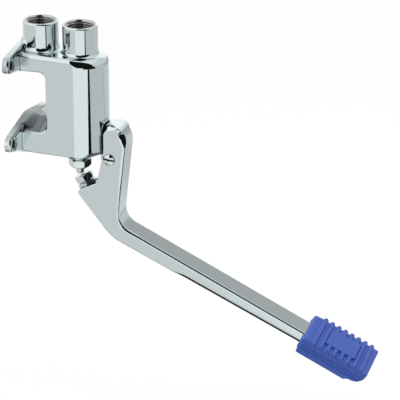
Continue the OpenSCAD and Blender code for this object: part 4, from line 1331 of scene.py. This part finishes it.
class TAP_OT_pivot_pin(bpy.types.Operator):
    """Pivot pin with domed ends and a screwdriver slot in the near one"""

    bl_idname = "tap_valve.pivot_pin"
    bl_label = "Pivot pin"

    def execute(self, context):
        low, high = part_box("pivot_pin")
        r, half = (high[0] - low[0]) / 2, (high[1] - low[1]) / 2 + PIN_PROUD
        dome_r = (r * r + PIN_DOME * PIN_DOME) / (2 * PIN_DOME)
        slot_floor = PIN_SLOT_DEPTH - half
        slot_way = (-math.sin(PIN_SLOT_TURN), math.cos(PIN_SLOT_TURN))

        def from_slot(x, z):
            return np.abs(along_way(slot_way, PIVOT, x, z)) - PIN_SLOT_W / 2

        def distance(x, y, z):
            around = np.hypot(x - PIVOT[0], z - PIVOT[1])
            end = np.hypot(around, np.maximum(np.abs(y) - half + dome_r, 0)) - dome_r
            pin = soft_common(around - r, np.maximum(end, np.abs(y) - half), HOLE_EDGE)
            return soft_cut(pin, np.maximum(from_slot(x, z), y - slot_floor), PIN_SLOT_EDGE)

        ends = (low[0], -half, low[2]), (high[0], half, high[2])
        points, faces, normals = net_of(distance, *ends, PIN_CELL)
        piece = replace_node("pivot_pin", points, faces, normals)
        x, y, z = points.T
        # Painted shade in the screwdriver slot
        mark_painted_shade(piece, (from_slot(x, z) < PIN_SLOT_SPARE) & (y < slot_floor + PIN_DOME))
        return {"FINISHED"}


class TAP_OT_return_spring(bpy.types.Operator):
    """Round-wire spring round the spindle"""

    bl_idname = "tap_valve.return_spring"
    bl_label = "Return spring"

    def execute(self, context):
        b = context.scene.tap_body
        low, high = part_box("return_spring")
        coil_r = (high[0] - low[0]) / 2 - WIRE_R
        count = COILS * COIL_STEPS + 1
        turns = 2 * math.pi * np.arange(count) / COIL_STEPS
        height = np.linspace(low[2] + WIRE_R, high[2] - WIRE_R, count)
        points, faces = [], []
        for turn, level in zip(turns, height):
            out = np.array([math.cos(turn), math.sin(turn), 0])
            for a in 2 * math.pi * np.arange(WIRE_SIDES) / WIRE_SIDES:
                middle = [b.spindle_x, 0, level + WIRE_R * math.sin(a)]
                points.append(out * (coil_r + WIRE_R * math.cos(a)) + middle)
        for start in range(0, (count - 1) * WIRE_SIDES, WIRE_SIDES):
            after = start + WIRE_SIDES
            for k in range(WIRE_SIDES):
                n = (k + 1) % WIRE_SIDES
                faces.append((start + k, after + k, after + n, start + n))
        faces.append(tuple(range(WIRE_SIDES)))
        faces.append(tuple(reversed(range(len(points) - WIRE_SIDES, len(points)))))
        spring = replace_node("return_spring", points, faces)
        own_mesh(spring)
        return {"FINISHED"}


class TAP_OT_inner_fittings(bpy.types.Operator):
    """Finishes of the seat, seals, bushes and other pieces that keep their CAD shape"""

    bl_idname = "tap_valve.inner_fittings"
    bl_label = "Inner fittings"

    def execute(self, context):
        slots = {part["node"]: part["material_slot"] for part in frame["record"]["subparts"]}
        for node, thing in frame["nodes"].items():
            if thing.hide_render:
                continue
            for held in thing.material_slots:
                held.material = finish_of(slots[node])
        return {"FINISHED"}


# Studio


# Panels round the object as metal mirrors them, later ones over earlier ones. Degrees: azimuth right of the
# camera, elevation, half width, half height and softness; then brightness.
STUDIO_BASE = 0.95
STUDIO_PANELS = (
    (0, 75, 180, 26, 12, 1.2),
    (180, 18, 32, 18, 8, 1.45),
    (-74, 30, 47, 32, 2, 1.4),
    (78, -30, 44, 42, 6, 0.8),
    (153, -22, 6, 30, 2, 0.75),
    (85, -65, 45, 27, 6, 0.02),
    (-112, -58, 38, 13, 4, 0.01),
    (0, -42, 30, 46, 3, 1.25),
    (15.5, 44, 42.5, 42, 2, 0.01),
    (38, -2, 26, 12, 3, 0.01),
)
# Dark card: degrees right of the camera, distance, then heights and half widths from its top down
DARK_CARD = (34, 0.6, ((-0.11, 0.02), (-0.26, 0.065), (-0.42, 0.2)))
DARK_TONE = 0.005
# Grey card behind the object: heights and brightness from its foot up, its ends in X and its place in Y
CARD_TONES = (
    (-0.30, 0.95), (-0.225, 0.85), (-0.20, 0.70), (-0.18, 0.70), (-0.16, 0.85), (-0.08, 0.85),
    (-0.03, 0.62), (0.062, 0.58),
)
CARD_REACH = (0.08, 0.65)
CARD_BACK = 0.30
# Lamps: place from the point that the camera looks at, size, and the setting that holds the power
LAMPS = (
    ("key_lamp", (0.3, -0.15, 1.1), 0.9, "key_power"),
    ("fill_lamp", (0.9, -1.2, 0.3), 0.8, "fill_power"),
)
FLOOR_HALF = 6.0
SENSOR_MM = 36
NEAREST_SEEN = 0.05
WHITE = (1, 1, 1, 1)
ONE_FACE = [(0, 1, 2, 3)]


@made_once("node_groups")
def panel_group(name):
    """Mask of a soft-edged panel in the studio, by azimuth and elevation."""
    ways = (("Azimuth", "Centre azimuth", "Half width"), ("Elevation", "Centre elevation", "Half height"))
    labels = [label for way in ways for label in way] + ["Softness"]
    tree, given, out = new_group(name, {label: ("Float", 0.0) for label in labels}, {"Mask": "Float"})
    masks = []
    for value, centre, half in ways:
        off = calc(tree, "SUBTRACT", given[value], given[centre])
        size = calc(tree, "ABSOLUTE", calc(tree, "WRAP", off, -math.pi, math.pi))
        inner, outer = (calc(tree, way, given[half], given["Softness"]) for way in ("SUBTRACT", "ADD"))
        masks.append(add_node(tree, "ShaderNodeMapRange", {
            "Value": size, "From Min": inner, "From Max": outer, "To Min": 1.0, "To Max": 0.0},
            interpolation_type="SMOOTHSTEP").outputs[0])
    feed(tree, out, {"Mask": calc(tree, "MULTIPLY", *masks)})
    return tree


def glowing(name):
    """New material that only glows, with its node tree and the node that glows."""
    finish = bpy.data.materials.new(name)
    finish.use_nodes = True
    tree = finish.node_tree
    tree.nodes.clear()
    glow = add_node(tree, "ShaderNodeEmission", {"Color": WHITE, "Strength": 1.0})
    add_node(tree, "ShaderNodeOutputMaterial", {"Surface": glow.outputs["Emission"]})
    return finish, tree, glow


def stage_sheet(name, corners, faces, finish):
    """New flat object that belongs to the stage."""
    mesh = bpy.data.meshes.new(name)
    mesh.from_pydata(corners, [], faces)
    mesh.materials.append(finish)
    sheet = bpy.data.objects.new(name, mesh)
    bpy.context.scene.collection.objects.link(sheet)
    return sheet


def mirrored_only(card):
    """Lets a card show in reflections alone."""
    card.visible_camera = False
    card.visible_diffuse = False
    card.visible_shadow = False


class TAP_OT_studio(bpy.types.Operator):
    """Camera, pale floor, lamps and the studio that the metal mirrors"""

    bl_idname = "tap_valve.studio"
    bl_label = "Studio"

    def execute(self, context):
        s = context.scene.tap_studio
        self.camera(context, s)
        self.floor(s)
        self.surroundings(context, s)
        self.grey_card()
        self.dark_card(context, s)
        self.lamps(context, s)
        context.scene.view_settings.view_transform = "Standard"
        return {"FINISHED"}

    def camera(self, context, s):
        """Camera at the photograph's viewing angle."""
        data = bpy.data.cameras.new("camera")
        data.sensor_width = SENSOR_MM
        data.lens = s.focal_mm
        data.clip_start = NEAREST_SEEN
        camera = bpy.data.objects.new("camera", data)
        context.scene.collection.objects.link(camera)
        level = math.cos(s.elevation)
        back = Vector((math.sin(s.azimuth) * level, -math.cos(s.azimuth) * level, math.sin(s.elevation)))
        camera.location = Vector(s.look_at) + back * s.distance
        camera.rotation_euler = back.to_track_quat("Z", "Y").to_euler()
        context.scene.camera = camera

    def floor(self, s):
        """Pale floor that the camera sees as nearly white."""
        finish, tree, shader = new_finish("pale_floor")
        feed(tree, shader, {"Base Color": (0.8, 0.8, 0.8, 1), "Roughness": 0.9, "Specular IOR Level": 0.1})
        white = add_node(tree, "ShaderNodeEmission", {"Color": WHITE, "Strength": 1.0})
        path = add_node(tree, "ShaderNodeLightPath")
        mix = add_node(tree, "ShaderNodeMixShader", {
            0: calc(tree, "MULTIPLY", path.outputs["Is Camera Ray"], s.floor_glow),
            1: shader.outputs["BSDF"], 2: white.outputs["Emission"]})
        feed(tree, tree.nodes["Material Output"], {"Surface": mix.outputs["Shader"]})
        level = cad_box[0].z - s.floor_drop
        corners = [(x * FLOOR_HALF, y * FLOOR_HALF, level) for x, y in ((-1, -1), (1, -1), (1, 1), (-1, 1))]
        stage_sheet("floor", corners, ONE_FACE, finish).visible_glossy = False

    def surroundings(self, context, s):
        """World of panels for reflections, plain white to the camera."""
        world = bpy.data.worlds.new("studio")
        context.scene.world = world
        world.use_nodes = True
        tree = world.node_tree
        tree.nodes.clear()
        place = add_node(tree, "ShaderNodeTexCoord")
        parts = add_node(tree, "ShaderNodeSeparateXYZ", {0: place.outputs["Generated"]}).outputs
        azimuth = calc(tree, "ARCTAN2", parts["Y"], parts["X"])
        elevation = calc(tree, "ARCSINE", parts["Z"])
        camera_turn = s.azimuth - math.pi / 2
        light = STUDIO_BASE
        for turn, rise, half_w, half_h, soft, level in STUDIO_PANELS:
            panel = add_node(tree, "ShaderNodeGroup", {
                "Azimuth": azimuth, "Centre azimuth": camera_turn + math.radians(turn),
                "Elevation": elevation, "Centre elevation": math.radians(rise),
                "Half width": math.radians(half_w), "Half height": math.radians(half_h),
                "Softness": math.radians(soft)}, node_tree=panel_group("studio_panel"))
            light = mixed_number(tree, panel.outputs["Mask"], light, level)
        path = add_node(tree, "ShaderNodeLightPath")
        seen = mixed_number(tree, path.outputs["Is Camera Ray"], light, 1.0)
        back = add_node(tree, "ShaderNodeBackground", {"Color": WHITE, "Strength": seen})
        add_node(tree, "ShaderNodeOutputWorld", {"Surface": back.outputs["Background"]})

    def grey_card(self):
        """Upright card whose brightness changes with height."""
        low, high = CARD_TONES[0][0], CARD_TONES[-1][0]
        left, right = CARD_REACH
        finish, tree, glow = glowing("grey_card")
        place = add_node(tree, "ShaderNodeTexCoord")
        parts = add_node(tree, "ShaderNodeSeparateXYZ", {0: place.outputs["Object"]})
        rise = add_node(tree, "ShaderNodeMapRange", {
            "Value": parts.outputs["Z"], "From Min": low, "From Max": high})
        tones = add_node(tree, "ShaderNodeValToRGB", {"Fac": rise.outputs[0]})
        stops = tones.color_ramp.elements
        for level, tone in CARD_TONES[1:-1]:
            stops.new((level - low) / (high - low)).color = (tone, tone, tone, 1)
        for end in (0, -1):
            tone = CARD_TONES[end][1]
            stops[end].color = (tone, tone, tone, 1)
        feed(tree, glow, {"Color": tones.outputs["Color"]})
        corners = [(x, CARD_BACK, z) for x, z in ((left, low), (right, low), (right, high), (left, high))]
        mirrored_only(stage_sheet("grey_card", corners, ONE_FACE, finish))

    def dark_card(self, context, s):
        """Upright card that widens downwards."""
        turn, far, ends = DARK_CARD
        way = s.azimuth - math.pi / 2 + math.radians(turn)
        middle = Vector((context.scene.tap_body.column_x, 0, 0))
        middle += Vector((math.cos(way), math.sin(way), 0)) * far
        across = Vector((-math.sin(way), math.cos(way), 0))
        corners = [middle + across * half * side + Vector((0, 0, level))
                   for level, half in ends for side in (-1, 1)]
        faces = [(k, k + 1, k + 3, k + 2) for k in range(0, len(corners) - 2, 2)]
        finish, tree, glow = glowing("dark_card")
        feed(tree, glow, {"Strength": DARK_TONE})
        mirrored_only(stage_sheet("dark_card", corners, faces, finish))

    def lamps(self, context, s):
        """Soft lamps that point at what the camera looks at."""
        for name, place, size, setting in LAMPS:
            data = bpy.data.lights.new(name, "AREA")
            data.size = size
            data.energy = getattr(s, setting)
            lamp = bpy.data.objects.new(name, data)
            lamp.location = Vector(s.look_at) + Vector(place)
            lamp.rotation_euler = Vector(place).to_track_quat("Z", "Y").to_euler()
            lamp.visible_glossy = False
            context.scene.collection.objects.link(lamp)


OPERATORS = (
    TAP_OT_studio, TAP_OT_body_casting, TAP_OT_socket_threads, TAP_OT_lever_casting, TAP_OT_pedal_boot,
    TAP_OT_gland_and_spindle, TAP_OT_adjusting_screw, TAP_OT_pivot_pin, TAP_OT_return_spring,
    TAP_OT_inner_fittings,
)


class TAP_PT_panel(bpy.types.Panel):
    """Lists the steps that make the tap valve"""

    bl_idname = "TAP_PT_panel"
    bl_label = "Tap valve"
    bl_space_type = "VIEW_3D"
    bl_region_type = "UI"
    bl_category = "Tap valve"

    def draw(self, context):
        column = self.layout.column()
        for operator in OPERATORS:
            column.operator(operator.bl_idname)


GROUPS = {
    "tap_body": BodySizes, "tap_thread": ThreadSizes, "tap_lever": LeverSizes, "tap_screw": ScrewSizes,
    "tap_boot": BootSizes, "tap_finish": FinishSettings, "tap_studio": StudioSettings,
}


def register():
    """Adds the classes and the settings to Blender."""
    for item in (*GROUPS.values(), *OPERATORS, TAP_PT_panel):
        bpy.utils.register_class(item)
    for name, group in GROUPS.items():
        setattr(bpy.types.Scene, name, bpy.props.PointerProperty(type=group))


def unregister():
    """Takes the classes and the settings out of Blender."""
    for name in GROUPS:
        delattr(bpy.types.Scene, name)
    for item in (TAP_PT_panel, *reversed(OPERATORS), *reversed(GROUPS.values())):
        bpy.utils.unregister_class(item)


def main():
    """Registers the settings and makes every piece in order."""
    register()
    for operator in OPERATORS:
        family, name = operator.bl_idname.split(".")
        getattr(getattr(bpy.ops, family), name)()


if __name__ == "__main__":
    main()
